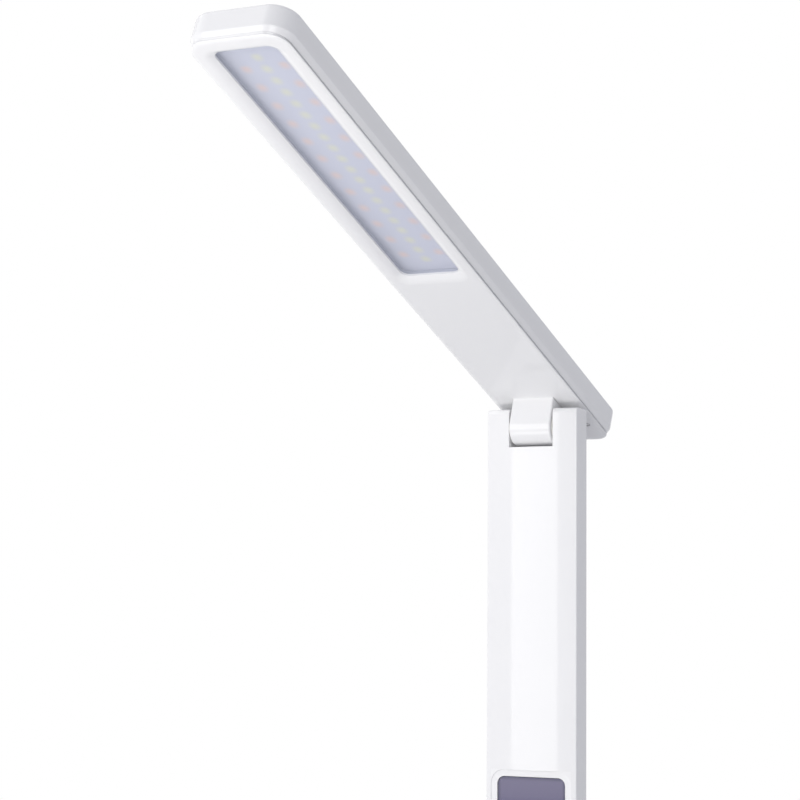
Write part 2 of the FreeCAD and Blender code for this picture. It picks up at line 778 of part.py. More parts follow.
def stem_rear_cover():
    body = new_body("stem_rear_cover", "stem")
    sketch = sketch_on(body, "XY", "stem_low")
    rectangle(sketch, "0 - stem_half", "stem_half", "0", "stem_rear")
    shell = pad(body, sketch, "stem_high - stem_low")
    rear = value("stem_rear")
    shell = fillet(body, shell, "stem_rear_edge", lambda edge: upright(edge) and lies_at(edge, "y", rear))
    ends = (value("stem_low"), value("stem_high"))
    fillet(body, shell, "stem_end_edge", lambda edge: not lies_at(edge, "y", 0) and any(
        lies_at(edge, "z", end) for end in ends))
    stem_hollow(body, "rear_floor", False)
    # Sills that close the slots' floors towards the back
    for low, high in (("slot_depth - slot_sill", "slot_depth"),
                      ("hinge_spacing - slot_depth", "hinge_spacing - slot_depth + slot_sill")):
        sketch = sketch_on(body, "XZ", "0 - rear_floor")
        rectangle(sketch, "0 - slot_half", "slot_half", low, high)
        pad(body, sketch, "stem_wall", back=True)
    # Screw bosses, with wells for the heads
    sketch = sketch_on(body, "XZ", "0 - rear_floor")
    circles(sketch, stem_screw_places, "boss_radius")
    pad(body, sketch, "rear_floor")
    sketch = sketch_on(body, "XZ", "0")
    circles(sketch, stem_screw_places, "screw_hole_radius")
    pocket(body, sketch, "stem_rear + cut_over")
    sketch = sketch_on(body, "XZ", "screw_sink - stem_rear")
    circles(sketch, stem_screw_places, "screw_well_radius")
    pocket(body, sketch, "screw_sink + cut_over")
    # Holes for the set buttons
    sketch = sketch_on(body, "XZ", "0 - rear_floor")
    circles(sketch, [("0", height) for height in button_heights], "button_radius + button_gap")
    pocket(body, sketch, "stem_wall + cut_over")


def set_button(label, height):
    body = new_body(label, "stem")
    for radius, start, length in (
            ("button_tip_radius", "button_tip", "button_seat - button_flange - button_tip"),
            ("button_flange_radius", "button_seat - button_flange", "button_flange"),
            ("button_radius", "button_seat", "stem_rear + button_proud - button_seat")):
        sketch = sketch_on(body, "XZ", f"0 - ({start})")
        circle(sketch, "0", height, radius)
        pad(body, sketch, length, back=True)


def hinge_pins(label, height):
    body = new_body(label, "stem")
    for sign, back in (("0 +", False), ("0 -", True)):
        for start, length, radius in (("pin_end", "ear_inner - pin_end", "pin_radius"),
                                      ("ear_inner", "pin_flange_length", "pin_flange_radius")):
            sketch = sketch_on(body, "YZ", f"{sign} {start}")
            circle(sketch, "0", height, radius)
            circle(sketch, "0", height, "pin_bore_radius")
            pad(body, sketch, length, back)


def hinge_washers(label, height):
    body = new_body(label, "stem")
    for sign, back in (("0 +", False), ("0 -", True)):
        sketch = sketch_on(body, "YZ", f"{sign} (barrel_width / 2 + washer_gap)")
        circle(sketch, "0", height, "washer_radius")
        circle(sketch, "0", height, "pin_radius + washer_gap")
        pad(body, sketch, "washer_thickness", back)


def set_switches():
    body = new_body("set_switches", "stem")
    sketch = sketch_on(body, "XZ", "0 - board_rear")
    for height in button_heights:
        rectangle(sketch, "0 - switch_size / 2", "switch_size / 2",
                  f"{height} - switch_size / 2", f"{height} + switch_size / 2")
    pad(body, sketch, "switch_height", back=True)


def cell_clip():
    body = new_body("cell_clip", "stem")
    sketch = sketch_on(body, "XY", "cell_height - clip_width / 2")
    inner = "(cell_radius + fit_gap)"
    outer = "(cell_radius + fit_gap + clip_thickness)"
    polygon(sketch, [
        (f"0 - {outer}", "board_rear"),
        (f"0 - {inner}", "board_rear"),
        (f"0 - {inner}", "cell_rear"),
        (inner, "cell_rear"),
        (inner, "board_rear"),
        (outer, "board_rear"),
        (outer, "cell_rear + clip_thickness"),
        (f"0 - {outer}", "cell_rear + clip_thickness"),
    ])
    pad(body, sketch, "clip_width")


def build_stem():
    stem_front_cover()
    stem_rear_cover()
    plate("display_window", "stem", "XZ", "front_floor",
          lambda sketch: window_outline(sketch, "0"), "stem_skin - window_sink")
    plate("display_panel", "stem", "XZ", "front_floor",
          lambda sketch: window_outline(sketch, "display_lap"), "display_thickness", back=True)
    plate("display_board", "stem", "XZ", "0 - display_rear",
          lambda sketch: rectangle(sketch, "display_board_inset - display_lap - window_half",
                                   "window_half + display_lap - display_board_inset",
                                   "window_low - display_lap", "window_high + display_lap"),
          "board_thickness", back=True)
    set_switches()
    for label, height in zip(("set_button_upper", "set_button_middle", "set_button_lower"), button_heights):
        set_button(label, height)
    plate("coin_cell", "stem", "XZ", "0 - board_rear",
          lambda sketch: circle(sketch, "0", "cell_height", "cell_radius"), "cell_thickness", back=True)
    cell_clip()
    for place, height in (("upper", "hinge_spacing"), ("lower", "0")):
        hinge_pins(f"{place}_hinge_pins", height)
        hinge_washers(f"{place}_hinge_washers", height)
    screws("stem_screws", "stem", "XZ", stem_screw_places, "screw_sink - stem_rear",
           "stem_rear - screw_sink + front_floor - fit_gap", True)
    wire("stem_wires", "stem", [
        ("0 - pin_end", "0", "hinge_spacing"),
        ("0 - wire_side", "0", "hinge_spacing"),
        ("0 - wire_side", "0", "0"),
        ("0 - pin_end", "0", "0"),
    ])


# Base: a weighted slab with the hinge post at its back

base_screw_places = [(f"{left} base_screw_across", f"{front} base_screw_along")
                     for left in ("0 -", "0 +") for front in ("0 -", "0 +")]
post_screw_places = [(f"{sign} post_screw_across", "hinge_back") for sign in ("0 -", "0 +")]
standoff_places = [(across, "(driver_front + driver_back) / 2")
                   for across in ("driver_left + standoff_inset", "driver_right - standoff_inset")]


def base_outline(sketch, inset):
    rounded_rectangle(sketch, f"{inset} - base_half_width", f"base_half_width - {inset}",
                      f"{inset} - base_half_depth", f"base_half_depth - {inset}", f"base_corner - {inset}")


def touch_outline(sketch, inset):
    rounded_rectangle(sketch, f"{inset} - touch_width / 2", f"touch_width / 2 - {inset}",
                      f"touch_low + {inset}", f"touch_high - {inset}", f"touch_corner - {inset}")


def base_top_cover():
    body = new_body("base_top_cover", "base")
    sketch = sketch_on(body, "XY", "base_cover_low")
    base_outline(sketch, "0")
    shell = pad(body, sketch, "base_height - base_cover_low")
    top = value("base_height")
    shell = fillet(body, shell, "base_edge", lambda edge: lies_at(edge, "z", top))
    low = value("base_cover_low")
    fillet(body, shell, "rim_edge", lambda edge: lies_at(edge, "z", low))
    sketch = sketch_on(body, "XY", "base_cover_low")
    base_outline(sketch, "base_wall")
    pocket(body, sketch, "base_ceiling - base_cover_low", back=True)
    # Screw bosses down to the bottom cover
    sketch = sketch_on(body, "XY", "bottom_top")
    circles(sketch, base_screw_places, "boss_radius")
    pad(body, sketch, "base_ceiling - bottom_top")
    sketch = sketch_on(body, "XY", "bottom_top")
    circles(sketch, base_screw_places, "screw_hole_radius")
    pocket(body, sketch, "base_ceiling - bottom_top", back=True)
    # Holes under the hinge post for its screws and the wires
    sketch = sketch_on(body, "XY", "base_ceiling")
    circles(sketch, post_screw_places, "screw_hole_radius")
    circle(sketch, "0", "hinge_back", "channel_radius")
    pocket(body, sketch, "base_wall + cut_over", back=True)
    # Recess of the touch panel, and the power socket's hole
    sketch = sketch_on(body, "XY", "base_height - touch_thickness")
    touch_outline(sketch, "(0 - fit_gap)")
    pocket(body, sketch, "touch_thickness + cut_over", back=True)
    sketch = sketch_on(body, "XZ", "base_wall + cut_over - base_half_depth")
    circle(sketch, "socket_across", "socket_height", "socket_radius + fit_gap")
    pocket(body, sketch, "base_wall + 2 * cut_over")


def base_bottom_cover():
    body = new_body("base_bottom_cover", "base")
    sketch = sketch_on(body, "XY", "pad_proud")
    base_outline(sketch, "frame_inset")
    rim = pad(body, sketch, "bottom_rim")
    low = value("pad_proud")
    fillet(body, rim, "frame_edge", lambda edge: lies_at(edge, "z", low))
    sketch = sketch_on(body, "XY", "bottom_rim_top")
    base_outline(sketch, "(base_wall + fit_gap)")
    pad(body, sketch, "bottom_top - bottom_rim_top")
    sketch = sketch_on(body, "XY", "bottom_top")
    circles(sketch, standoff_places, "standoff_radius")
    pad(body, sketch, "driver_low - bottom_top")
    # Recess of the anti-slip pad, and wells and holes of the screws that it hides
    sketch = sketch_on(body, "XY", "pad_thickness")
    base_outline(sketch, "(pad_margin - fit_gap)")
    pocket(body, sketch, "pad_thickness")
    sketch = sketch_on(body, "XY", "pad_thickness")
    circles(sketch, base_screw_places, "screw_well_radius")
    pocket(body, sketch, "screw_head", back=True)
    sketch = sketch_on(body, "XY", "pad_thickness")
    circles(sketch, base_screw_places, "screw_hole_radius")
    pocket(body, sketch, "bottom_plate + cut_over", back=True)


def base_hinge_post():
    body = new_body("base_hinge_post", "stem")
    sketch = sketch_on(body, "XY", "0 - post_height")
    crowned_front(sketch, "stem_rear")
    block = pad(body, sketch, "post_height - hinge_reach")
    side = value("side_plane")
    rear = value("stem_rear")
    block = fillet(body, block, "stem_front_edge", lambda edge: upright(edge) and lies_at(edge, "y", -side))
    block = fillet(body, block, "stem_rear_edge", lambda edge: upright(edge) and lies_at(edge, "y", rear))
    top = -value("hinge_reach")
    fillet(body, block, "stem_end_edge", lambda edge: lies_at(edge, "z", top))
    barrel_and_tongue(body, "post_root", "hinge_reach", -1)
    bore_and_channel(body, "post_height + cut_over", False)
    sketch = sketch_on(body, "XY", "0 - post_height")
    circles(sketch, [(across, "0") for across, along in post_screw_places], "screw_hole_radius")
    pocket(body, sketch, "post_screw_depth", back=True)


def power_socket():
    body = new_body("power_socket", "base")
    for start, length, radius in (("socket_inner", "socket_length", "socket_radius"),
                                  ("base_half_depth", "socket_flange", "socket_flange_radius")):
        sketch = sketch_on(body, "XZ", f"0 - {start}")
        circle(sketch, "socket_across", "socket_height", radius)
        pad(body, sketch, length, back=True)
    sketch = sketch_on(body, "XZ", "socket_hole_depth - base_half_depth")
    circle(sketch, "socket_across", "socket_height", "socket_hole_radius")
    pocket(body, sketch, "socket_hole_depth + socket_flange + cut_over")
    sketch = sketch_on(body, "XZ", "0 - socket_inner")
    circle(sketch, "socket_across", "socket_height", "contact_radius + pin_gap")
    pocket(body, sketch, "socket_length")
    plate("socket_contact", "base", "XZ", "contact_tail - socket_inner",
          lambda sketch: circle(sketch, "socket_across", "socket_height", "contact_radius"),
          "contact_tail + socket_length - contact_recess", back=True)


def build_base():
    base_top_cover()
    base_bottom_cover()
    base_hinge_post()
    plate("anti_slip_pad", "base", "XY", "0",
          lambda sketch: base_outline(sketch, "pad_margin"), "pad_thickness")
    plate("ballast_plate", "base", "XY", "bottom_top",
          lambda sketch: rounded_rectangle(sketch, "ballast_side - base_half_width",
                                           "base_half_width - ballast_side",
                                           "ballast_front - base_half_depth", "driver_front - ballast_gap",
                                           "ballast_corner"),
          "ballast_thickness")
    plate("touch_panel", "base", "XY", "base_height - touch_thickness",
          lambda sketch: touch_outline(sketch, "0"), "touch_thickness")
    plate("touch_board", "base", "XY", "base_ceiling",
          lambda sketch: touch_outline(sketch, "touch_board_inset"), "board_thickness", back=True)
    plate("driver_board", "base", "XY", "driver_low",
          lambda sketch: rectangle(sketch, "driver_left", "driver_right", "driver_front", "driver_back"),
          "board_thickness")
    power_socket()
    screws("base_screws", "base", "XY", base_screw_places, "base_screw_seat",
           "base_ceiling - base_screw_seat - fit_gap", True)
    screws("post_screws", "base", "XY", post_screw_places, "base_ceiling",
           "base_wall + post_screw_depth - fit_gap", True)
    wire("base_wires", "stem", [
        ("0 - pin_end", "0", "0"),
        ("0", "0", "0"),
        ("0", "0", "driver_top + wire_radius - axis_height"),
        ("driver_left + wire_land", "0", "driver_top + wire_radius - axis_height"),
    ])


def check_document():
    for item in doc.Objects:
        if "Invalid" in item.State or "Error" in item.State:
            raise RuntimeError(f"{item.Label} failed: {item.State}")
        if item.TypeId in ("PartDesign::Pocket", "PartDesign::SubtractiveLoft"):
            if item.BaseFeature.Shape.Volume - item.Shape.Volume < near:
                raise RuntimeError(f"{item.Label} cuts nothing")
    for node in nodes:
        if node.Shape.isNull() or not node.Shape.isValid() or not node.Shape.Solids:
            raise RuntimeError(f"{node.Label} has no valid shape")


build_head()
build_stem()
build_base()
doc.recompute()
check_document()
os.makedirs("parts", exist_ok=True)
for node in nodes:
    node.Shape.exportStep(f"parts/{node.Label}.step")
    print(f"{node.Label}: {len(node.Shape.Solids)} solids, {node.Shape.Volume:.1f} mm3")
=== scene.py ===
import json
import math
import bmesh
import bpy
import numpy as np
from mathutils import Matrix, Vector, geometry


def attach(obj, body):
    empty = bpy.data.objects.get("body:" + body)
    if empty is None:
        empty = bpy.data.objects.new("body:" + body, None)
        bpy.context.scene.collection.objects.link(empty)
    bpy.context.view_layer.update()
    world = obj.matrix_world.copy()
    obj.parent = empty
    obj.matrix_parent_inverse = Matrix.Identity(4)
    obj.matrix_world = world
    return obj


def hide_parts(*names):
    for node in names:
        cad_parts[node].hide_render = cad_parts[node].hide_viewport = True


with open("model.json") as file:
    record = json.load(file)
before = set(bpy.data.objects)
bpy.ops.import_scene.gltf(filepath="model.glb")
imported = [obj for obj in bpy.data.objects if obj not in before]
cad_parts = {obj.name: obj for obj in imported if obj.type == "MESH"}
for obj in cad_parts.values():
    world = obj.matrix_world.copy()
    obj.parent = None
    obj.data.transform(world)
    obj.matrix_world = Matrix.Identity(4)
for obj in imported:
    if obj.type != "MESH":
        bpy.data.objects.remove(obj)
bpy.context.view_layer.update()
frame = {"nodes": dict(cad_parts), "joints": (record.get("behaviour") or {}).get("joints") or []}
scene = bpy.context.scene
scene.view_settings.view_transform = "Standard"

# Where the three bodies are: millimetres in a body's own frame become metres in the row frame
joint = {entry["name"]: entry for entry in frame["joints"]}
lowerAxis = np.array(joint["stem_fold"]["pos_m"]) * 1000
upperAxis = np.array(joint["head_tilt"]["pos_m"]) * 1000
tilt = math.radians(joint["head_tilt"]["range_deg"][1] - 90)


def inBase(spots):
    return spots


def inStem(spots):
    return spots + lowerAxis


def inHead(spots):  # turned about the hinge axis so that the tip rises
    x, y, z = spots.T
    return np.stack([x, y * math.cos(tilt) + z * math.sin(tilt),
                     z * math.cos(tilt) - y * math.sin(tilt)], 1) + upperAxis


# Planes that a flat outline (u, v) is lifted onto
def level(uv, height):
    return np.column_stack([uv[:, 0], uv[:, 1], np.broadcast_to(height, len(uv))])


def upright(uv, depth):
    return np.column_stack([uv[:, 0], np.broadcast_to(depth, len(uv)), uv[:, 1]])


def sideways(uv, across):
    return np.column_stack([np.broadcast_to(across, len(uv)), uv])


def arc(middle, radii, first, last, steps):  # an ellipse's arc between two angles in degrees
    angle = np.radians(np.linspace(first, last, steps + 1))
    return np.stack([middle[0] + radii[0] * np.cos(angle), middle[1] + radii[1] * np.sin(angle)], 1)


def disc(u, v, radius, steps=32):  # a full circle, without its doubled last point
    return arc((u, v), (radius, radius), 0, 360, steps)[:-1]


def ring(box, radius, inset=0.0, steps=12):
    # four corner arcs of a rounded rectangle that is drawn in by the inset, joined by straight runs;
    # a pair of radii is for the corners at the low and at the high end
    left, right, low, high = box
    near, far = np.maximum(np.broadcast_to(radius, 2) - inset, 0.05)
    a, b = near + inset, far + inset
    return np.concatenate([
        arc((right - a, low + a), (near, near), -90, 0, steps),
        arc((right - b, high - b), (far, far), 0, 90, steps),
        arc((left + b, high - b), (far, far), 90, 180, steps),
        arc((left + a, low + a), (near, near), 180, 270, steps)])


def inside(spots, loop):  # even-odd rule: count the edges that a ray towards +u crosses
    u, v = spots[:, :1], spots[:, 1:]
    start, end = loop, np.roll(loop, -1, 0)
    spans = (start[:, 1] > v) != (end[:, 1] > v)
    rise = np.where(start[:, 1] == end[:, 1], 1, end[:, 1] - start[:, 1])
    crossing = start[:, 0] + (v - start[:, 1]) / rise * (end[:, 0] - start[:, 0])
    return (spans & (u < crossing)).sum(1) % 2 == 1


class Shell:
    def __init__(self):
        self.spots, self.faces, self.count = [], [], 0

    def add(self, spots, faces):
        self.spots.append(spots.reshape(-1, 3))
        self.faces.append(faces + self.count)
        self.count += len(self.spots[-1])

    def grid(self, spots, closed=False, skip=()):
        # quads between the neighbours of a grid of points, wrapped round its columns where closed
        index = np.arange(spots.shape[0] * spots.shape[1]).reshape(spots.shape[:2])
        index = np.hstack([index, index[:, :1]]) if closed else index
        keep = np.ones((index.shape[0] - 1, index.shape[1] - 1), bool)
        for place in skip:
            keep[place] = False
        quads = np.stack([index[:-1, :-1], index[1:, :-1], index[1:, 1:], index[:-1, 1:]], -1)
        self.add(spots, quads[keep])

    def loft(self, lift, loops, heights, skip=()):  # wall through outlines of equal count at their heights
        self.grid(np.stack([lift(loop, height) for loop, height in zip(loops, heights)]), True, skip)

    def cap(self, spots):  # one face round a flat loop
        self.add(spots, np.arange(len(spots))[None])

    def plate(self, lift, box, corner, profile, extra=0.0):
        # a profile of insets and heights carried round a rounded rectangle, with a face at each end
        insets, heights = np.transpose(profile)
        loops = [ring(box, corner, inset + extra) for inset in insets]
        self.loft(lift, loops, heights)
        for end in (0, -1):
            self.cap(lift(loops[end], heights[end]))

    def flat(self, lift, outer, height, holes=()):
        # triangles of the constrained triangulation whose middles are in the outline and in no hole
        loops = [outer, *holes]
        ends = np.cumsum([0] + [len(loop) for loop in loops])
        edges = np.concatenate([np.stack([np.arange(a, b), np.roll(np.arange(a, b), -1)], 1)
                                for a, b in zip(ends, ends[1:])])
        found = geometry.delaunay_2d_cdt([Vector(spot) for spot in np.concatenate(loops).tolist()],
                                         edges.tolist(), [], 1, 1e-4)
        spots = np.array([spot[:] for spot in found[0]])
        faces = np.array(found[2])
        middles = spots[faces].mean(1)
        keep = inside(middles, outer)
        for hole in holes:
            keep &= ~inside(middles, hole)
        self.add(lift(spots, height), faces[keep])


def finishPiece(name, shell, place, body, finish, nodes, crease=32):
    mesh = bpy.data.meshes.new(name)
    spots = place(np.concatenate(shell.spots)) / 1000
    mesh.from_pydata(spots.tolist(), [], [face for block in shell.faces for face in block.tolist()])
    work = bmesh.new()
    work.from_mesh(mesh)
    bmesh.ops.remove_doubles(work, verts=work.verts, dist=4e-6)
    bmesh.ops.recalc_face_normals(work, faces=work.faces)
    loose = sum(not edge.is_manifold for edge in work.edges)
    work.to_mesh(mesh)
    work.free()
    mesh.shade_smooth()
    mesh.set_sharp_from_angle(angle=math.radians(crease))
    mesh.materials.append(finish)
    piece = bpy.data.objects.new(name, mesh)
    scene.collection.objects.link(piece)
    even = piece.modifiers.new("evenNormals", "WEIGHTED_NORMAL")
    even.keep_sharp = True
    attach(piece, body)
    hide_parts(*nodes)
    print(f"{name}: {len(mesh.polygons)} faces, {loose} open edges")


# Shader maths: a wrapped socket takes part in Python expressions
class Wire:
    def __init__(self, paint, socket):
        self.paint, self.socket = paint, socket

    def __add__(self, other):
        return self.paint.sum("ADD", self, other)

    def __sub__(self, other):
        return self.paint.sum("SUBTRACT", self, other)

    def __mul__(self, other):
        return self.paint.sum("MULTIPLY", self, other)

    def __truediv__(self, other):
        return self.paint.sum("DIVIDE", self, other)

    def __rsub__(self, other):
        return self.paint.sum("SUBTRACT", other, self)

    __radd__ = __add__
    __rmul__ = __mul__

    def most(self, other):
        return self.paint.sum("MAXIMUM", self, other)

    def least(self, other):
        return self.paint.sum("MINIMUM", self, other)

    def size(self):
        return self.paint.sum("ABSOLUTE", self)

    def root(self):
        return self.paint.sum("SQRT", self)

    def wrap(self, step):  # how far from the nearest whole step
        return self.paint.sum("PINGPONG", self, step / 2)

    def rise(self, low, high):  # eased from 0 at low to 1 at high
        return self.paint.node("ShaderNodeMapRange", {"interpolation_type": "SMOOTHSTEP"},
                               {"Value": self, "From Min": low, "From Max": high})

    def fall(self, low, high):
        return 1 - self.rise(low, high)


class Paint:
    def __init__(self, name, tree=None):
        self.material = None if tree else bpy.data.materials.new(name)
        if self.material:
            self.material.use_nodes = True
        self.tree = tree or self.material.node_tree
        self.shader = self.tree.nodes.get("Principled BSDF")

    def node(self, kind, settings, sockets, out=0):
        made = self.tree.nodes.new(kind)
        for key, value in settings.items():
            setattr(made, key, value)
        for key, value in sockets.items():
            self.feed(made.inputs[key], value)
        return Wire(self, made.outputs[out])

    def feed(self, socket, value):
        if isinstance(value, Wire):
            self.tree.links.new(value.socket, socket)
        elif hasattr(socket.default_value, "__len__") and len(value) == 3 and len(socket.default_value) == 4:
            socket.default_value = (*value, 1)
        else:
            socket.default_value = value

    def sum(self, operation, *values):
        return self.node("ShaderNodeMath", {"operation": operation}, dict(enumerate(values)))

    def mix(self, factor, first, second):
        return self.node("ShaderNodeMix", {"data_type": "RGBA"}, {0: factor, 6: first, 7: second}, 2)

    def coords(self):
        return self.node("ShaderNodeTexCoord", {}, {}, "Object")

    def inMillimetres(self, axis, turn=0.0):
        # Object coordinates centred on an axis point, turned into a body's own frame, in millimetres
        return self.node("ShaderNodeMapping", {"vector_type": "TEXTURE"}, {
            "Vector": self.coords(), "Location": tuple(axis / 1000), "Rotation": (-turn, 0, 0),
            "Scale": (0.001, 0.001, 0.001)})

    def ray(self, kind):
        return self.node("ShaderNodeLightPath", {}, {}, f"Is {kind} Ray")

    def parts(self, vector):
        return [self.node("ShaderNodeSeparateXYZ", {}, {0: vector}, out) for out in range(3)]

    def noise(self, scale, detail=3.0, roughness=0.55):
        return self.node("ShaderNodeTexNoise", {}, {
            "Vector": self.coords(), "Scale": scale, "Detail": detail, "Roughness": roughness})

    def bump(self, height, distance, strength=1.0):
        normal = self.node("ShaderNodeBump", {}, {"Height": height, "Distance": distance, "Strength": strength})
        self.set(Normal=normal)

    def set(self, **sockets):
        for key, value in sockets.items():
            self.feed(self.shader.inputs[key.replace("_", " ")], value)


# Finishes
shellGloss = {"colour": (0.905, 0.905, 0.911), "shade": (0.89, 0.891, 0.898), "roughness": 0.055, "spread": 0.03}


def mouldedWhite(name, colour, shade, roughness, spread, satin=None):
    # faint clouds in the colour, smears in the gloss and the slight waviness of a moulded face, and less gloss
    # on a satin pad of the stem's front
    paint = Paint(name)
    clouds = paint.noise(14, 2)
    smears = paint.noise(55, 4)
    grain = paint.noise(1500, 2)
    gloss = (smears - 0.5) * spread + grain * 0.02 + roughness
    if satin:
        x, y, z = paint.parts(paint.inMillimetres(lowerAxis))
        (left, right, low, high), edge = satin["box"], satin["edge"]
        pad = x.size().fall(right, right + edge) * z.rise(low - edge, low) * z.fall(high, high + edge)
        gloss = gloss + pad * y.fall(satin["depth"], satin["depth"] + edge) * satin["roughness"]
    paint.set(Base_Color=paint.mix(clouds.rise(0.3, 0.7), colour, shade), Roughness=gloss, IOR=1.5)
    paint.bump(paint.noise(38, 1) + grain * 0.03, 0.00006, 0.35)
    return paint.material


shellWhite = mouldedWhite("glossWhite", **shellGloss)
undersideWhite = mouldedWhite("mattWhite", (0.86, 0.86, 0.87), (0.83, 0.83, 0.845), 0.5, 0.1)
buttonWhite = mouldedWhite("satinWhite", (0.87, 0.87, 0.885), (0.85, 0.85, 0.865), 0.32, 0.08)


def brushedMetal(name, colour, shade, roughness):
    paint = Paint(name)
    streaks = paint.noise(900, 5, 0.7)
    blots = paint.noise(160, 3)
    paint.set(Base_Color=paint.mix(blots.rise(0.35, 0.7), colour, shade), Metallic=1.0,
              Roughness=streaks * 0.16 + roughness)
    paint.bump(streaks, 0.00003, 0.4)
    return paint.material


platedSteel = brushedMetal("platedSteel", (0.62, 0.62, 0.63), (0.54, 0.54, 0.56), 0.2)
roughSteel = brushedMetal("roughSteel", (0.3, 0.3, 0.31), (0.2, 0.19, 0.185), 0.45)
contactBrass = brushedMetal("contactBrass", (0.8, 0.6, 0.25), (0.7, 0.5, 0.2), 0.22)


def softMatt(name, colour, shade, roughness, scale, depth):
    paint = Paint(name)
    clouds = paint.noise(40, 3)
    grain = paint.noise(scale, 4, 0.65)
    paint.set(Base_Color=paint.mix(clouds * 0.5 + grain * 0.5, colour, shade),
              Roughness=grain * 0.2 + roughness)
    paint.bump(grain, depth, 0.6)
    return paint.material


blackPlastic = softMatt("blackPlastic", (0.035, 0.035, 0.038), (0.06, 0.06, 0.064), 0.4, 1200, 0.00003)
padFoam = softMatt("padFoam", (0.11, 0.11, 0.115), (0.2, 0.2, 0.21), 0.7, 700, 0.0002)
nylon = softMatt("nylon", (0.78, 0.77, 0.72), (0.7, 0.69, 0.64), 0.4, 900, 0.00003)
wireSheath = softMatt("wireSheath", (0.7, 0.7, 0.71), (0.62, 0.62, 0.64), 0.45, 800, 0.00004)
solderWhite = softMatt("solderWhite", (0.84, 0.84, 0.82), (0.78, 0.78, 0.76), 0.45, 900, 0.00002)


def circuitGreen():
    # brick cells give the tracks, with copper showing through the mask as a lighter green
    paint = Paint("circuitGreen")
    tracks = paint.node("ShaderNodeTexBrick", {}, {
        "Vector": paint.coords(), "Scale": 240, "Mortar Size": 0.06, "Mortar Smooth": 0.3}, "Fac")
    clouds = paint.noise(120, 3)
    base = paint.mix(clouds, (0.02, 0.16, 0.06), (0.03, 0.22, 0.09))
    paint.set(Base_Color=paint.mix(tracks, base, (0.1, 0.36, 0.16)), Roughness=clouds * 0.15 + 0.3)
    paint.bump(tracks, 0.00004, 0.5)
    return paint.material


def phosphor(name, colour, rim):
    paint = Paint(name)
    clouds = paint.noise(700, 3)
    paint.set(Base_Color=paint.mix(clouds.rise(0.35, 0.65), colour, rim), Roughness=clouds * 0.1 + 0.18)
    paint.bump(clouds, 0.00003, 0.3)
    return paint.material


circuitBoard = circuitGreen()
coolPhosphor = phosphor("coolPhosphor", (0.9, 0.82, 0.32), (0.93, 0.88, 0.55))
warmPhosphor = phosphor("warmPhosphor", (0.9, 0.5, 0.16), (0.92, 0.62, 0.3))
print("finishes made")

# Head
head = {
    "box": (-20.0, 20.0, -260.9, 31.7), "corner": (9.0, 7.0), "underside": 9.8, "rimTop": 10.55, "plateTop": 12.0,
    "coverLow": 11.3, "ceiling": 20.2, "top": 22.19, "wall": 2.0, "topEdge": 1.5, "topRow": 0.3,
    "edgeInset": 1.05, "edgeHeight": 2.2, "edgeRound": 0.35, "edgeLip": 0.2,
    "frameInset": 1.0, "lipWidth": 2.2, "lipHeight": 0.6, "rimEdge": 0.15, "plateInset": 2.2,
    "grooveInset": 2.0, "grooveTop": 11.26, "grooveTip": (1.05, 0.7),
    "lens": (-12.3, 12.3, -252.2, -105.2), "lensCorner": 3.5, "lensLap": 1.2, "lensTop": 14.0,
    "slope": (-15.75, 15.75, -255.4, -100.3), "slopeCorner": 6.0, "slopeTop": 11.2, "slopePower": 1.8,
    "railInner": 1.4, "railOuter": 2.9, "railTop": 16.0,
    "opening": (-9.3, 9.3, -8.1, 8.1), "openingCorner": 0.4, "screwSide": 13.3, "screwBack": 16.2,
    "wellRadius": 2.1, "holeRadius": 1.05, "wellTop": 11.2,
}


def headTopShell():
    # tray: ceiling, inner wall, a tall chamfer with eased corners, the wall and the rounded top edge
    h = head
    shell = Shell()
    edge, ease = h["topEdge"], h["edgeRound"]
    t = np.linspace(0, 1, 6)[:, None]

    def eased(before, corner, after):  # a parabola's arc that leaves and arrives along the corner's two legs
        return (1 - t) ** 2 * before + 2 * t * (1 - t) * corner + t ** 2 * after

    low, high = np.array((h["edgeInset"], h["coverLow"])), np.array((0, h["coverLow"] + h["edgeHeight"]))
    along = (high - low) / np.linalg.norm(high - low) * ease
    profile = np.concatenate([
        [(h["wall"], h["ceiling"]), (h["wall"], h["coverLow"])],
        eased(low + (h["edgeLip"], 0), low, low + along), eased(high - along, high, high + (0, ease)),
        [(0.0, h["top"] - edge - h["topRow"])],
        arc((edge, h["top"] - edge), (edge, edge), 180, 90, 12)])
    shell.plate(level, h["box"], h["corner"], profile)
    finishPiece("headTopShell", shell, inHead, "head", shellWhite, ["head_top_cover"])


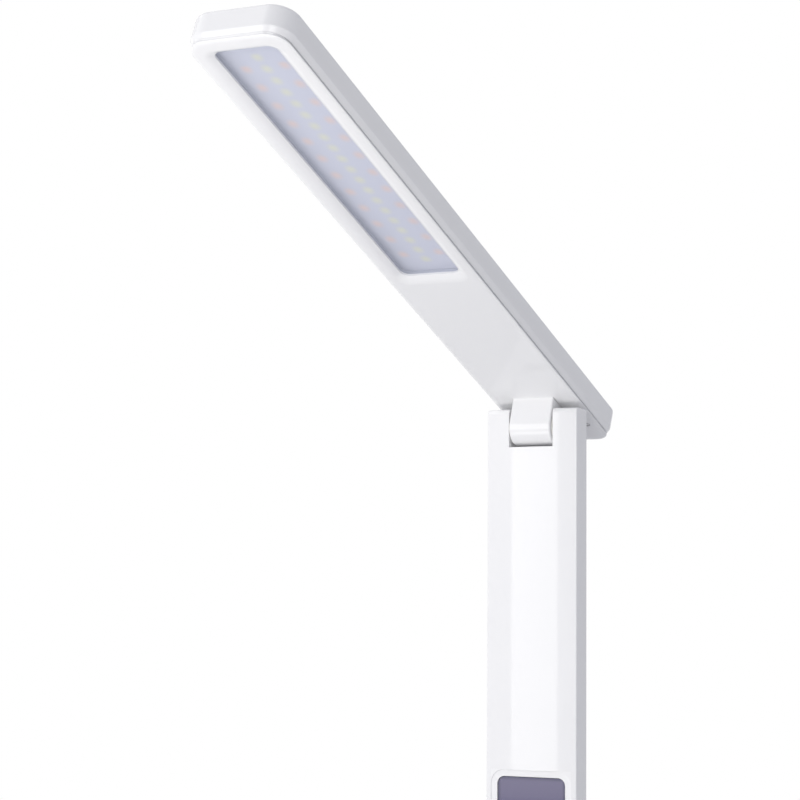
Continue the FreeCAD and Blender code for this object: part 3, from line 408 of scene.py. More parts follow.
def headFrame():
    # from the plate's edge through the seam's groove and over a soft lip to the underside, and through the
    # lens opening to the rails
    h = head
    shell = Shell()
    side, edge = h["frameInset"], h["rimEdge"]
    lip = arc((side + h["lipWidth"], h["underside"] + h["lipHeight"]), (h["lipWidth"], h["lipHeight"]), 180, 270, 12)
    profile = np.concatenate([
        [(h["plateInset"], h["plateTop"]), (h["plateInset"], h["grooveTop"]), (h["grooveInset"], h["grooveTop"]),
         (h["grooveInset"], h["rimTop"]), (side + edge, h["rimTop"]), (side, h["rimTop"] - edge)], lip])
    loops = [ring(h["box"], h["corner"], inset) for inset in profile[:, 0]]
    left, right, low, high = h["box"]
    for row, reach in zip((2, 3), h["grooveTip"]):  # the groove's floor comes forward at the tip and slopes there
        loops[row] = ring((left, right, low - reach, high), h["corner"], h["grooveInset"])
    shell.loft(level, loops, profile[:, 1])
    slope = ring(h["slope"], h["slopeCorner"])
    inner = ring(h["lens"], h["lensCorner"])
    ledge = ring(h["lens"], h["lensCorner"], -h["railInner"])
    rail = ring(h["lens"], h["lensCorner"], -h["railOuter"])
    t = np.linspace(0, 1, 9)  # the slope steepens towards the lens
    chain = [*(slope + (inner - slope) * part for part in t), inner, ledge, ledge, rail, rail]
    heights = [*(h["underside"] + (h["slopeTop"] - h["underside"]) * t ** h["slopePower"]),
               h["plateTop"], h["plateTop"], h["railTop"], h["railTop"], h["plateTop"]]
    shell.loft(level, chain, heights)
    opening = ring(h["opening"], h["openingCorner"], 0, 3)
    shell.loft(level, [opening, opening], [h["underside"], h["plateTop"]])
    wells = [disc(across, h["screwBack"], h["wellRadius"]) for across in (-h["screwSide"], h["screwSide"])]
    holes = [disc(across, h["screwBack"], h["holeRadius"]) for across in (-h["screwSide"], h["screwSide"])]
    for well, hole in zip(wells, holes):
        shell.loft(level, [well, well, hole, hole],
                   [h["underside"], h["wellTop"], h["wellTop"], h["plateTop"]])
    shell.flat(level, loops[-1], h["underside"], [slope, opening, *wells])
    shell.flat(level, loops[0], h["plateTop"], [rail, opening, *holes])
    finishPiece("headFrame", shell, inHead, "head", shellWhite, ["head_bottom_frame"])


lens = {
    "coolFirst": 111.8, "coolLast": 243.6, "coolCount": 20, "warmFirst": 116.0, "warmLast": 237.8,
    "warmCount": 12, "warmSide": 7.45, "halfWidth": 2.0, "halfLength": 2.4, "blur": 1.6,
    # shade, dimSpan and dimShare give the painted shade beside the lens's left wall
    "milk": (0.715, 0.738, 0.84), "shade": (0.57, 0.59, 0.67), "dimSpan": (-6, 12), "dimShare": 0.7,
    "cool": (0.86, 0.87, 0.62), "coolShare": 0.8, "warm": (0.95, 0.68, 0.56), "warmShare": 0.7,
    "haze": 0.3, "hazeEnd": (0.03, 0.1), "edge": 0.15,
}


def milkyLens():
    # a hazy clear front over a milky back that carries the LEDs' soft images, with painted shade beside the left
    # wall: each row of LEDs is a repeated ellipse, blurred towards its rim
    paint = Paint("milkyLens")
    x, y, z = paint.parts(paint.inMillimetres(upperAxis, tilt))

    def row(across, first, last, count):
        step = (last - first) / (count - 1)
        along = (y + first).wrap(step) / lens["halfLength"]
        over = across / lens["halfWidth"]
        ends = (y + (first + last) / 2).size().fall((last - first) / 2 + 1, (last - first) / 2 + 3)
        return (along * along + over * over).root().fall(0.0, lens["blur"]) * ends

    cool = row(x, lens["coolFirst"], lens["coolLast"], lens["coolCount"])
    warm = row(x.size() - lens["warmSide"], lens["warmFirst"], lens["warmLast"], lens["warmCount"])
    box = head["lens"]
    clouds = paint.noise(60, 2)
    # painted shade: the milky back's colour is darkened towards the left wall
    paintedShade = (x - box[0]).fall(*lens["dimSpan"]) * lens["dimShare"]  # less light gets in beside the left wall
    body = paint.mix(paintedShade + clouds * 0.06, lens["milk"], lens["shade"])
    behind = z.rise(*(head["plateTop"] + depth for depth in lens["hazeEnd"]))
    body = paint.mix(cool * behind * lens["coolShare"], body, lens["cool"])
    body = paint.mix(warm * behind * lens["warmShare"], body, lens["warm"])
    paint.set(Base_Color=body, Roughness=clouds * 0.06 + 0.16, IOR=1.49,
              Alpha=behind * (1 - lens["haze"]) + lens["haze"])
    paint.bump(paint.noise(900, 2), 0.00002, 0.25)
    return paint.material


def lensPlate():
    h, edge = head, lens["edge"]
    shell = Shell()
    profile = [(edge, h["plateTop"]), (0.0, h["plateTop"] + edge), (0.0, h["lensTop"] - edge), (edge, h["lensTop"])]
    shell.plate(level, h["lens"], h["lensCorner"], profile, -h["lensLap"])
    finishPiece("lensPlate", shell, inHead, "head", milkyLens(), ["diffuser_lens"])


# Hinge knuckles
knuckle = {"radius": 7.0, "half": 9.1, "edge": 0.7, "bore": 2.05, "reach": 9.8, "flare": 0.9,
           "headRoot": 7.9, "headTop": 12.0, "postRoot": 5.8, "postTop": 10.2,
           "flange": (-11.1, 11.1, -13.4, 13.4), "flangeCorner": 2.0, "flangeTop": 13.9}


def knuckleSection(root, top, inset):
    # the barrel's arc, left along its two tangents to a small flare at the root, then straight on to the top
    k = knuckle
    radius, half = k["radius"] - inset, root - inset
    touch = math.degrees(math.acos(radius / math.hypot(half, k["reach"])) - math.atan2(k["reach"], half))
    barrel = arc((0, 0), (radius, radius), 180 + touch, 360 - touch, 40)
    corner = np.array([half, k["reach"]])
    flank = barrel[-1] - corner
    first, last = corner + flank / np.linalg.norm(flank) * k["flare"], corner + (k["flare"], 0)
    t = np.linspace(0, 1, 7)[:, None]
    flare = (1 - t) ** 2 * first + 2 * t * (1 - t) * corner + t ** 2 * last
    right = np.concatenate([flare, [corner, (half, top)]])
    return np.concatenate([barrel, right, right[::-1] * (-1, 1)])


def addKnuckle(shell, root, top, flip):
    # the section is carried across, drawn in at both ends by a quarter round
    k = knuckle
    corner = arc((k["half"] - k["edge"], k["edge"]), (k["edge"], k["edge"]), 0, -90, 5)
    rows = np.concatenate([corner * (-1, 1), corner[::-1]])
    loops = [knuckleSection(root, top, inset) * (1, flip) for inset in rows[:, 1]]
    shell.loft(sideways, loops, rows[:, 0])
    bore = disc(0, 0, k["bore"])
    for loop, across in ((loops[0], rows[0, 0]), (loops[-1], rows[-1, 0])):
        shell.flat(sideways, loop, across, [bore])
    shell.loft(sideways, [bore, bore], [-k["half"], k["half"]])


def headKnuckle():
    k = knuckle
    shell = Shell()
    addKnuckle(shell, k["headRoot"], k["headTop"], 1)
    flange = ring(k["flange"], k["flangeCorner"], 0, 6)
    shell.loft(level, [flange, flange], [k["headTop"], k["flangeTop"]])
    shell.cap(level(flange, k["headTop"]))
    shell.cap(level(flange, k["flangeTop"]))
    finishPiece("headKnuckle", shell, inHead, "head", shellWhite, ["head_hinge_knuckle"])


# Stem: half shells of a rounded bar whose front is crowned
stem = {
    "half": 20.0, "low": -7.7, "high": 286.7, "front": 4.3, "crown": 1.5, "rear": 6.2,
    "frontEdge": 0.5, "frontRow": -1.2, "rearEdge": 1.2, "rearRow": 2.0,
    "leanHeight": 2.4, "leanEnd": 0.7, "lean": 1.2, "leanPower": 2.2,
    "slot": 9.8, "slotLow": 7.8, "slotHigh": 271.2, "sill": 1.2, "earColumn": 10.8,
    "cavity": 18.0, "earInner": 13.3, "cavityLow": 9.8, "cavityHigh": 269.2, "earLow": -5.7, "earHigh": 284.7,
    "frontFloor": 2.8, "rearFloor": 4.2,
    "recess": (-17.75, 17.75, 57.3, 141.1), "recessCorner": 5.9, "recessMargin": 7.0,
    "padEdge": 0.1, "padRoughness": 0.4,
    "window": (-14.85, 14.85, 60.2, 138.2), "windowCorner": 3.0, "windowGap": 0.2, "paneFront": 3.9,
    "screws": (23.8, 44.2, 154.2, 255.2), "wellRadius": 2.1, "holeRadius": 1.05, "wellFloor": 4.8,
    "buttons": (122.2, 110.2, 98.2), "buttonHole": 2.5,
}


def edgeSteps(radius, steps=6):  # distances from a box's edge that become even turns of its rounding
    return radius * (1 - np.tan(np.linspace(math.pi / 4, 0, steps + 1)))


def roundBox(spots, low, high, radius):
    # each point goes to the box shrunk by the radius, then out from there by that radius
    core = np.clip(spots, np.add(low, radius), np.subtract(high, radius))
    away = spots - core
    return core + away * (radius / np.maximum(np.linalg.norm(away, axis=-1, keepdims=True), 1e-9))


def crowned(spots):
    # the front is stretched forward to a circle's arc across the width
    s = stem
    radius = (s["half"] ** 2 + s["crown"] ** 2) / (2 * s["crown"])
    bulge = np.sqrt(radius ** 2 - spots[..., 0] ** 2) - radius + s["crown"]
    out = spots.copy()
    out[..., 1] = np.where(out[..., 1] < 0, out[..., 1] * (1 + bulge / s["front"]), out[..., 1])
    return out


def sheetAt(xs, ys, zs):  # grid of points from arrays that broadcast to rows and columns
    return np.stack(np.broadcast_arrays(np.asarray(xs, float), ys, zs), -1).astype(float)


def mirrored(xs):
    return np.unique(np.round(np.concatenate([-np.asarray(xs), xs]), 6))


def cavityLoop():
    s = stem
    return np.array([
        (-s["cavity"], s["earLow"]), (-s["earInner"], s["earLow"]), (-s["earInner"], s["cavityLow"]),
        (s["earInner"], s["cavityLow"]), (s["earInner"], s["earLow"]), (s["cavity"], s["earLow"]),
        (s["cavity"], s["earHigh"]), (s["earInner"], s["earHigh"]), (s["earInner"], s["cavityHigh"]),
        (-s["earInner"], s["cavityHigh"]), (-s["earInner"], s["earHigh"]), (-s["cavity"], s["earHigh"])])


def addEarsAndWalls(shell, shape, columns, rows, face, depths, sill=0.0):
    # side walls, end walls of the ears, the slots' sides and floors with a sill, and the parting plane's edge
    s = stem
    step = s["rearFloor"]
    outer = columns[columns >= s["slot"] - 1e-6]
    middle = columns[np.abs(columns) <= s["slot"] + 1e-6]
    for side in (-1, 1):
        shell.grid(shape(sheetAt(side * s["half"], depths[:, None], rows[None])))
        for end in (s["low"], s["high"]):
            shell.grid(shape(sheetAt(side * outer[None], depths[:, None], end)))
        for floor, end in ((s["slotLow"], s["low"]), (s["slotHigh"], s["high"])):
            up = sill if end > floor else -sill
            span = rows[(rows - floor - up) * (end - floor) >= -1e-6]
            span = span if end > floor else span[::-1]
            chain = np.concatenate([
                sheetAt(side * s["slot"], face, span), sheetAt(side * s["slot"], depths[1:], end),
                [(side * s["slot"], 0, floor)],
                sheetAt(side * s["slot"], step, np.array([floor, floor + up])) if sill else np.empty((0, 3))])
            shell.cap(shape(chain))
    for floor, up in ((s["slotLow"], -sill), (s["slotHigh"], sill)):
        if sill:
            depth = np.array([0.0, step, step, face])
            height = np.array([floor, floor, floor + up, floor + up])
        else:
            depth, height = np.array([0.0, face]), np.array([floor, floor])
        shell.grid(shape(sheetAt(middle[None], depth[:, None], height[:, None])))
    right, left = outer, -outer[::-1]
    loop = np.concatenate([
        sheetAt(right, 0, s["low"]), sheetAt(s["half"], 0, rows), sheetAt(right[::-1], 0, s["high"]),
        sheetAt(middle[::-1], 0, s["slotHigh"]), sheetAt(left[::-1], 0, s["high"]),
        sheetAt(-s["half"], 0, rows[::-1]), sheetAt(left, 0, s["low"]), sheetAt(middle, 0, s["slotLow"])])
    loop = shape(loop)[:, [0, 2]]
    loop = loop[np.linalg.norm(loop - np.roll(loop, 1, 0), axis=1) > 1e-6]
    shell.flat(upright, loop, 0, [cavityLoop()])


def stemFrontShell():
    # crowned face round a flat recess: the rows next to the recess follow its rounded corners
    s = stem
    shell = Shell()
    steps = edgeSteps(s["frontEdge"])
    bend = s["recessCorner"]
    left, right, low, high = s["recess"]
    corner = right - bend
    columns = mirrored(np.concatenate([
        s["half"] - steps, corner + bend * np.sin(np.linspace(0, math.pi / 2, 9)), [s["earColumn"]],
        np.linspace(0, s["slot"], 8)]))
    reach = np.clip(np.abs(columns) - corner, 0, bend)
    dip = bend - np.sqrt(bend ** 2 - reach ** 2)  # how far a corner's arc leaves the recess's end edge
    below, above = low - s["recessMargin"], high + s["recessMargin"]
    lowEdge, highEdge = low + dip, high - dip
    lowRows = np.linspace(below, lowEdge, 3)
    highRows = np.linspace(highEdge, above, 3)
    lean = s["high"] - np.linspace(s["leanHeight"], s["leanEnd"], 7)
    ends = (np.concatenate([s["low"] + steps, [s["slotLow"]]]),
            np.concatenate([[s["slotHigh"]], lean, s["high"] - steps[::-1]]))
    rows = np.unique(np.round(np.concatenate([*ends, lowRows[:, 0], highRows[:, 0]]), 6))
    depths = np.append(steps - s["front"], [s["frontRow"], 0.0])
    face = -s["front"]

    def shape(spots):  # the ears' front leans back towards the upper end
        out = crowned(roundBox(spots, (-s["half"], face, s["low"]), (s["half"], 1e3, s["high"]), s["frontEdge"]))
        up = np.clip((out[..., 2] - s["high"]) / s["leanHeight"] + 1, 0, 1)
        out[..., 1] *= 1 - up ** s["leanPower"] * s["lean"] / (s["front"] + s["crown"])
        return out

    ears = columns[columns >= s["slot"] - 1e-6]
    for side in (-1, 1):
        for end in ends:
            shell.grid(shape(sheetAt(side * ears[None], face, end[:, None])))
        edge = side * columns[columns >= right - 1e-6]
        shell.grid(shape(sheetAt(edge[None], face, np.array([low + bend, high - bend])[:, None])))
    for span in (np.array([[s["slotLow"]], [below]]), lowRows, highRows, np.array([[above], [s["slotHigh"]]])):
        shell.grid(shape(sheetAt(columns[None], face, span)))
    addEarsAndWalls(shell, shape, columns, rows, face, depths)
    window = ring(s["window"], s["windowCorner"], -s["windowGap"])
    within = np.abs(columns) <= right + 1e-6
    recess = np.concatenate([np.stack([columns[within], lowEdge[within]], 1),
                             np.stack([columns[within], highEdge[within]], 1)[::-1]])
    shell.flat(upright, recess, face, [window])
    floor = upright(recess, face)
    shell.grid(np.stack([floor, crowned(floor)]), True)
    shell.loft(upright, [window, window], [face, -s["frontFloor"]])
    cavity = cavityLoop()
    shell.flat(upright, cavity, -s["frontFloor"], [window])
    shell.loft(upright, [cavity, cavity], [0, -s["frontFloor"]])
    finish = mouldedWhite("padWhite", **shellGloss, satin={
        "box": s["recess"], "depth": s["padEdge"] - s["front"], "edge": s["padEdge"], "roughness": s["padRoughness"]})
    finishPiece("stemFrontShell", shell, inStem, "stem", finish, ["stem_front_cover"])


def stemRearShell():
    # flat back with rounded edges, holes for the buttons and wells for the screws
    s = stem
    shell = Shell()
    steps = edgeSteps(s["rearEdge"])
    inner = s["half"] - s["rearEdge"]
    sillLow, sillHigh = s["slotLow"] - s["sill"], s["slotHigh"] + s["sill"]
    columns = mirrored(np.concatenate([s["half"] - steps, [s["slot"]]]))
    ends = np.concatenate([s["low"] + steps, [sillLow]]), np.concatenate([[sillHigh], s["high"] - steps[::-1]])
    rows = np.concatenate(ends)
    depths = np.append(s["rear"] - steps, [s["rearRow"], 0.0])

    def shape(spots):
        return roundBox(spots, (-s["half"], -1e3, s["low"]), (s["half"], s["rear"], s["high"]), s["rearEdge"])

    for side in (-1, 1):
        strip = side * columns[columns >= inner - 1e-6]
        shell.grid(shape(sheetAt(strip[None], s["rear"], rows[:, None])))
        for end in (ends[0][:-1], ends[1][1:]):
            shell.grid(shape(sheetAt(side * np.array([s["slot"], inner])[None], s["rear"], end[:, None])))
    addEarsAndWalls(shell, shape, columns, rows, s["rear"], depths, s["sill"])
    low, high = s["low"] + s["rearEdge"], s["high"] - s["rearEdge"]
    back = np.array([
        (inner, low), (inner, sillLow), (inner, sillHigh), (inner, high), (s["slot"], high),
        (s["slot"], sillHigh), (-s["slot"], sillHigh), (-s["slot"], high), (-inner, high),
        (-inner, sillHigh), (-inner, sillLow), (-inner, low), (-s["slot"], low),
        (-s["slot"], sillLow), (s["slot"], sillLow), (s["slot"], low)])
    wells = [disc(0, height, s["wellRadius"]) for height in s["screws"]]
    holes = [disc(0, height, s["holeRadius"]) for height in s["screws"]]
    buttons = [disc(0, height, s["buttonHole"]) for height in s["buttons"]]
    shell.flat(upright, back, s["rear"], wells + buttons)
    for well, hole in zip(wells, holes):
        shell.loft(upright, [well, well, hole, hole], [s["rear"], s["wellFloor"], s["wellFloor"], s["rearFloor"]])
    for button in buttons:
        shell.loft(upright, [button, button], [s["rear"], s["rearFloor"]])
    cavity = cavityLoop()
    shell.flat(upright, cavity, s["rearFloor"], holes + buttons)
    shell.loft(upright, [cavity, cavity], [0, s["rearFloor"]])
    finishPiece("stemRearShell", shell, inStem, "stem", shellWhite, ["stem_rear_cover"])


# shade and border give the painted shadow along the window's edge, glow a painted glow on the pane
display = {"tint": (0.102, 0.089, 0.182), "shade": (0.025, 0.025, 0.08), "border": (0.3, 1.6),
           "glow": (0.145, 0.132, 0.25), "glowSpan": (40, 80), "glowShare": 0.25, "edge": 0.12}


def tintedPane():
    # lavender glass, darker in a soft border of painted shadow, with a painted glow as a paler field in its middle
    paint = Paint("tintedPane")
    x, y, z = paint.parts(paint.inMillimetres(lowerAxis))
    left, right, low, high = stem["window"]
    border = (right - x.size()).least((z - low).least(high - z))
    clouds = paint.noise(30, 2)
    # painted shadow in the soft border
    body = paint.mix(border.fall(*display["border"]), display["tint"], display["shade"])
    # painted glow, growing paler with height
    body = paint.mix((z - low).rise(*display["glowSpan"]) * display["glowShare"] + clouds * 0.06, body, display["glow"])
    paint.set(Base_Color=body, Roughness=clouds * 0.03 + 0.04, IOR=1.49)
    return paint.material


def displayPane():
    s = stem
    shell = Shell()
    edge = display["edge"]
    profile = [(edge, -s["paneFront"]), (0.0, edge - s["paneFront"]), (0.0, -s["frontFloor"])]
    shell.plate(upright, s["window"], s["windowCorner"], profile)
    finishPiece("displayPane", shell, inStem, "stem", tintedPane(), ["display_window"])


def spun(profile, steps=48):
    # a profile of radius and height turned round its axis, as (height, two directions across)
    angle = np.linspace(0, 2 * math.pi, steps, endpoint=False)
    radius, height = np.asarray(profile, float).T
    return (np.broadcast_to(height[:, None], (len(radius), steps)),
            radius[:, None] * np.cos(angle), radius[:, None] * np.sin(angle))


button = {"radius": 2.4, "top": 6.6, "edge": 0.45, "dish": 0.12, "flange": 3.2, "seat": 4.1, "flangeLow": 3.3,
          "tipRadius": 1.2, "tip": 1.8, "dishInner": 0.6, "dishOuter": 1.3, "dishShare": 0.6}


def setButtons():
    # tip, flange and a cap with a rounded edge and a slightly dished top
    b = button
    cap = arc((b["radius"] - b["edge"], b["top"] - b["edge"]), (b["edge"], b["edge"]), 0, 90, 6)
    profile = np.concatenate([
        [(0, b["tip"]), (b["tipRadius"], b["tip"]), (b["tipRadius"], b["flangeLow"]), (b["flange"], b["flangeLow"]),
         (b["flange"], b["seat"]), (b["radius"], b["seat"])], cap,
        [(b["dishOuter"], b["top"] - b["dish"] * b["dishShare"]), (b["dishInner"], b["top"] - b["dish"]),
         (0, b["top"] - b["dish"])]])
    y, x, z = spun(profile)
    for place, height in zip(("upper", "middle", "lower"), stem["buttons"]):
        shell = Shell()
        shell.grid(np.stack([x, y, z + height], -1), True)
        finishPiece(f"setButton_{place}", shell, inStem, f"{place}_button", buttonWhite,
                    [f"set_button_{place}"])


screw = {"radius": 1.9, "height": 1.2, "dome": 0.12, "rim": 0.12, "rimRadii": (1.6, 1.75, 1.85), "crossReach": 1.4,
         "arm": 0.3, "armLength": 1.15, "ease": 0.1, "depth": 0.6, "shaft": 1.0, "stemLength": 7.4, "headLength": 7.9}


def screwGrid(length):
    # height over a polar grid: a low dome less a cross-shaped recess with eased walls, then edge, seat and shaft
    k = screw
    angle = np.linspace(0, 2 * math.pi, 64, endpoint=False)
    radius = np.concatenate([np.linspace(0, k["crossReach"], 15), k["rimRadii"]])[:, None]
    u, v = radius * np.cos(angle), radius * np.sin(angle)
    narrow, wide = np.minimum(np.abs(u), np.abs(v)), np.maximum(np.abs(u), np.abs(v))
    cross = (np.clip((k["arm"] + k["ease"] - narrow) / (2 * k["ease"]), 0, 1)
             * np.clip((k["armLength"] + k["ease"] - wide) / (2 * k["ease"]), 0, 1))
    top = k["height"] - k["dome"] * (radius / k["radius"]) ** 2 - k["depth"] * cross * cross * (3 - 2 * cross)
    low, x, y = spun([(k["radius"], k["height"] - k["dome"] - k["rim"]), (k["radius"], 0), (k["shaft"], 0),
                      (k["shaft"], -length), (0, -length)], 64)
    return np.vstack([u, x]), np.vstack([v, y]), np.vstack([top, low])


def screwHeads():
    u, v, out = screwGrid(screw["stemLength"])
    shell = Shell()
    for height in stem["screws"]:
        shell.grid(np.stack([u, stem["wellFloor"] + out, v + height], -1), True)
    finishPiece("stemScrewHeads", shell, inStem, "stem", platedSteel, ["stem_screws"])
    u, v, out = screwGrid(screw["headLength"])
    shell = Shell()
    for across in (-head["screwSide"], head["screwSide"]):
        shell.grid(np.stack([u + across, v + head["screwBack"], head["wellTop"] - out], -1), True)
    finishPiece("headScrewHeads", shell, inHead, "head", platedSteel, ["head_screws"])


# Base
base = {
    "box": (-80.0, 80.0, -62.0, 62.0), "corner": 20.0, "low": 2.8, "top": 17.0, "ceiling": 14.6, "wall": 2.4,
    "topEdge": 4.0, "rimEdge": 0.5,
    "touch": (-50.0, 50.0, -49.0, -31.0), "touchCorner": 4.0, "touchGap": 0.2, "touchLow": 16.2,
    "touchEdge": ((0.0, 0.2), (0.06, 0.06), (0.2, 0.0)),
    "jack": (34.0, 9.3), "jackHole": 3.6,
    "bottomInset": 0.4, "bottomLow": 0.8, "bottomRim": 2.4, "bottomTop": 4.0, "bottomEdge": 0.9, "bottomLip": 0.15,
    "plateInset": 2.6, "padInset": 10.0, "padGap": 0.2, "padTop": 1.5, "padEdge": 0.4,
}


def baseTopShell():
    b = base
    shell = Shell()
    edge, rim = b["topEdge"], b["rimEdge"]
    profile = np.concatenate([
        [(b["wall"], b["ceiling"]), (b["wall"], b["low"]), (rim, b["low"])],
        arc((rim, b["low"] + rim), (rim, rim), 270, 180, 4)[1:],
        arc((edge, b["top"] - edge), (edge, edge), 180, 90, 14)])
    steps = 20
    loops = [ring(b["box"], b["corner"], inset, steps) for inset in profile[:, 0]]
    back = 2 * (steps + 1) - 1  # the straight run along the rear
    outer = int(np.argmax(profile[:, 0] == 0))
    shell.loft(level, loops, profile[:, 1], [(0, back), (outer, back)])
    hole = disc(*b["jack"], b["jackHole"])
    run = b["box"][1] - b["corner"]
    for depth, low, high in ((b["box"][3], profile[outer, 1], profile[outer + 1, 1]),
                             (b["box"][3] - b["wall"], b["low"], b["ceiling"])):
        shell.flat(upright, np.array([(-run, low), (run, low), (run, high), (-run, high)]), depth, [hole])
    shell.loft(upright, [hole, hole], [b["box"][3], b["box"][3] - b["wall"]])
    recess = ring(b["touch"], b["touchCorner"], -b["touchGap"])
    shell.flat(level, loops[-1], b["top"], [recess])
    shell.loft(level, [recess, recess], [b["top"], b["touchLow"]])
    shell.cap(level(recess, b["touchLow"]))
    shell.cap(level(loops[0], b["ceiling"]))
    finishPiece("baseTopShell", shell, inBase, "base", shellWhite, ["base_top_cover"])


def baseBottomShell():
    b = base
    shell = Shell()
    side, edge, lip = b["bottomInset"], b["bottomEdge"], b["bottomLip"]
    profile = np.concatenate([
        [(b["plateInset"], b["bottomTop"]), (b["plateInset"], b["bottomRim"]), (side + lip, b["bottomRim"]),
         (side, b["bottomRim"] - lip)],
        arc((side + edge, b["bottomLow"] + edge), (edge, edge), 180, 270, 8)])
    loops = [ring(b["box"], b["corner"], inset, 20) for inset in profile[:, 0]]
    shell.loft(level, loops, profile[:, 1])
    shell.cap(level(loops[0], b["bottomTop"]))
    recess = ring(b["box"], b["corner"], b["padInset"] - b["padGap"])
    shell.flat(level, loops[-1], b["bottomLow"], [recess])
    shell.loft(level, [recess, recess], [b["bottomLow"], b["padTop"]])
    shell.cap(level(recess, b["padTop"]))
    finishPiece("baseBottomShell", shell, inBase, "base", undersideWhite, ["base_bottom_cover"])


def basePad():
    b = base
    shell = Shell()
    edge = b["padEdge"]
    profile = np.concatenate([[(0.0, b["padTop"])], arc((edge, edge), (edge, edge), 180, 270, 5)])
    shell.plate(level, b["box"], b["corner"], profile, b["padInset"])
    finishPiece("basePad", shell, inBase, "base", padFoam, ["anti_slip_pad"])


post = {"low": -23.4, "high": -9.8, "edge": 0.8}


def hingePost():
    # block with the stem's own section, rounded at its top, and the lower knuckle on it
    s, p = stem, post
    shell = Shell()
    steps = edgeSteps(p["edge"])
    columns = mirrored(np.concatenate([s["half"] - steps, np.linspace(0, s["half"] - p["edge"], 12)]))
    rows = np.concatenate([[p["low"]], p["high"] - steps[::-1]])
    depths = np.concatenate([steps - s["front"], s["rear"] - steps[::-1]])

    def shape(spots):
        return crowned(roundBox(spots, (-s["half"], -s["front"], -1e3), (s["half"], s["rear"], p["high"]), p["edge"]))

    for face in (-s["front"], s["rear"]):
        shell.grid(shape(sheetAt(columns[None], face, rows[:, None])))
    for side in (-s["half"], s["half"]):
        shell.grid(shape(sheetAt(side, depths[:, None], rows[None])))
    shell.grid(shape(sheetAt(columns[None], depths[:, None], p["high"])))
    loop = np.concatenate([
        sheetAt(columns, -s["front"], p["low"]), sheetAt(s["half"], depths, p["low"])[1:],
        sheetAt(columns[::-1], s["rear"], p["low"])[1:], sheetAt(-s["half"], depths[::-1], p["low"])[1:-1]])
    shell.cap(shape(loop))
    addKnuckle(shell, knuckle["postRoot"], knuckle["postTop"], -1)
    finishPiece("hingePost", shell, inStem, "base", shellWhite, ["base_hinge_post"])


touch = {"face": (0.8, 0.81, 0.83), "shade": (0.78, 0.79, 0.815), "mark": (0.3, 0.31, 0.34),
         "middle": (0.0, -40.0, 0.0), "ringRadius": 3.4, "lineHalf": 0.3,
         "soft": 0.08, "strokeHalf": 1.7, "armLength": 2.6, "spread": 30.0}


def touchMarks():
    # a ring with a bar in the middle, a minus on the left and a plus on the right
    paint = Paint("touchMarks")
    x, y, z = paint.parts(paint.inMillimetres(np.array(touch["middle"])))
    line, soft, arm = touch["lineHalf"], touch["soft"], touch["armLength"]

    def bar(along, across, half):
        return along.size().fall(half - soft, half + soft) * across.size().fall(line - soft, line + soft)

    far = (x * x + y * y).root()
    loop = (far - touch["ringRadius"]).size().fall(line - soft, line + soft)
    stroke = bar(y - touch["ringRadius"], x, touch["strokeHalf"])
    side = x.size() - touch["spread"]
    dash = bar(side, y, arm)
    rod = bar(y, side, arm) * x.rise(0, 1)
    marks = loop.most(stroke).most(dash).most(rod)
    clouds = paint.noise(20, 2)
    body = paint.mix(clouds.rise(0.3, 0.7), touch["face"], touch["shade"])
    paint.set(Base_Color=paint.mix(marks, body, touch["mark"]), Roughness=marks * 0.2 + clouds * 0.04 + 0.06)
    return paint.material


def touchStrip():
    b = base
    shell = Shell()
    profile = [(0.0, b["touchLow"]), *((inset, b["top"] - drop) for inset, drop in b["touchEdge"])]
    shell.plate(level, b["touch"], b["touchCorner"], profile)
    finishPiece("touchStrip", shell, inBase, "base", touchMarks(), ["touch_panel"])


jack = {"body": 3.4, "flange": 4.4, "bore": 2.8, "hole": 1.05, "inner": 46.0, "wall": 62.0, "front": 62.8,
        "boreEnd": 52.0, "lip": 0.25, "lipSoft": 0.08, "mouth": 0.35}


def powerJack():
    # the section of the socket turned round its axis, as a closed ring
    j = jack
    profile = [(j["hole"], j["inner"]), (j["body"], j["inner"]), (j["body"], j["wall"]), (j["flange"], j["wall"]),
               (j["flange"], j["front"] - j["lip"]), (j["flange"] - j["lipSoft"], j["front"] - j["lipSoft"]),
               (j["flange"] - j["lip"], j["front"]), (j["bore"] + j["mouth"], j["front"]),
               (j["bore"], j["front"] - j["mouth"]), (j["bore"], j["boreEnd"]), (j["hole"], j["boreEnd"]),
               (j["hole"], j["inner"])]
    y, x, z = spun(profile)
    shell = Shell()
    shell.grid(np.stack([x + base["jack"][0], y, z + base["jack"][1]], -1), True)
    finishPiece("powerJack", shell, inBase, "base", blackPlastic, ["power_socket"])


for build in (headTopShell, headFrame, lensPlate, headKnuckle, stemFrontShell, stemRearShell, displayPane, setButtons,
              screwHeads, baseTopShell, baseBottomShell, basePad, hingePost, touchStrip, powerJack):
    build()
print("pieces made")

# CAD nodes that keep their own solids get these finishes
nodeFinish = {
    "led_board": solderWhite, "cool_leds": coolPhosphor, "warm_leds": warmPhosphor, "knuckle_screws": platedSteel,
    "head_wires": wireSheath, "display_panel": tintedPane(), "display_board": circuitBoard,
    "set_switches": blackPlastic, "coin_cell": platedSteel, "cell_clip": platedSteel,
    "upper_hinge_pins": platedSteel, "upper_hinge_washers": nylon, "lower_hinge_pins": platedSteel,
    "lower_hinge_washers": nylon, "stem_wires": wireSheath, "ballast_plate": roughSteel, "touch_board": circuitBoard,
    "driver_board": circuitBoard, "socket_contact": contactBrass, "base_screws": platedSteel,
    "post_screws": platedSteel, "base_wires": wireSheath,
}
for name, finish in nodeFinish.items():
    node = frame["nodes"][name]
    node.data.materials.clear()
    node.data.materials.append(finish)
print("nodes dressed")

# Camera, at the photographed angle
view = {"place": (0.42052, -0.85393, 0.24778), "yaw": 28.48, "pitch": 4.81, "roll": 0.41, "lens": 108.9,
        "sensor": 36.0, "clip": (0.01, 50.0)}


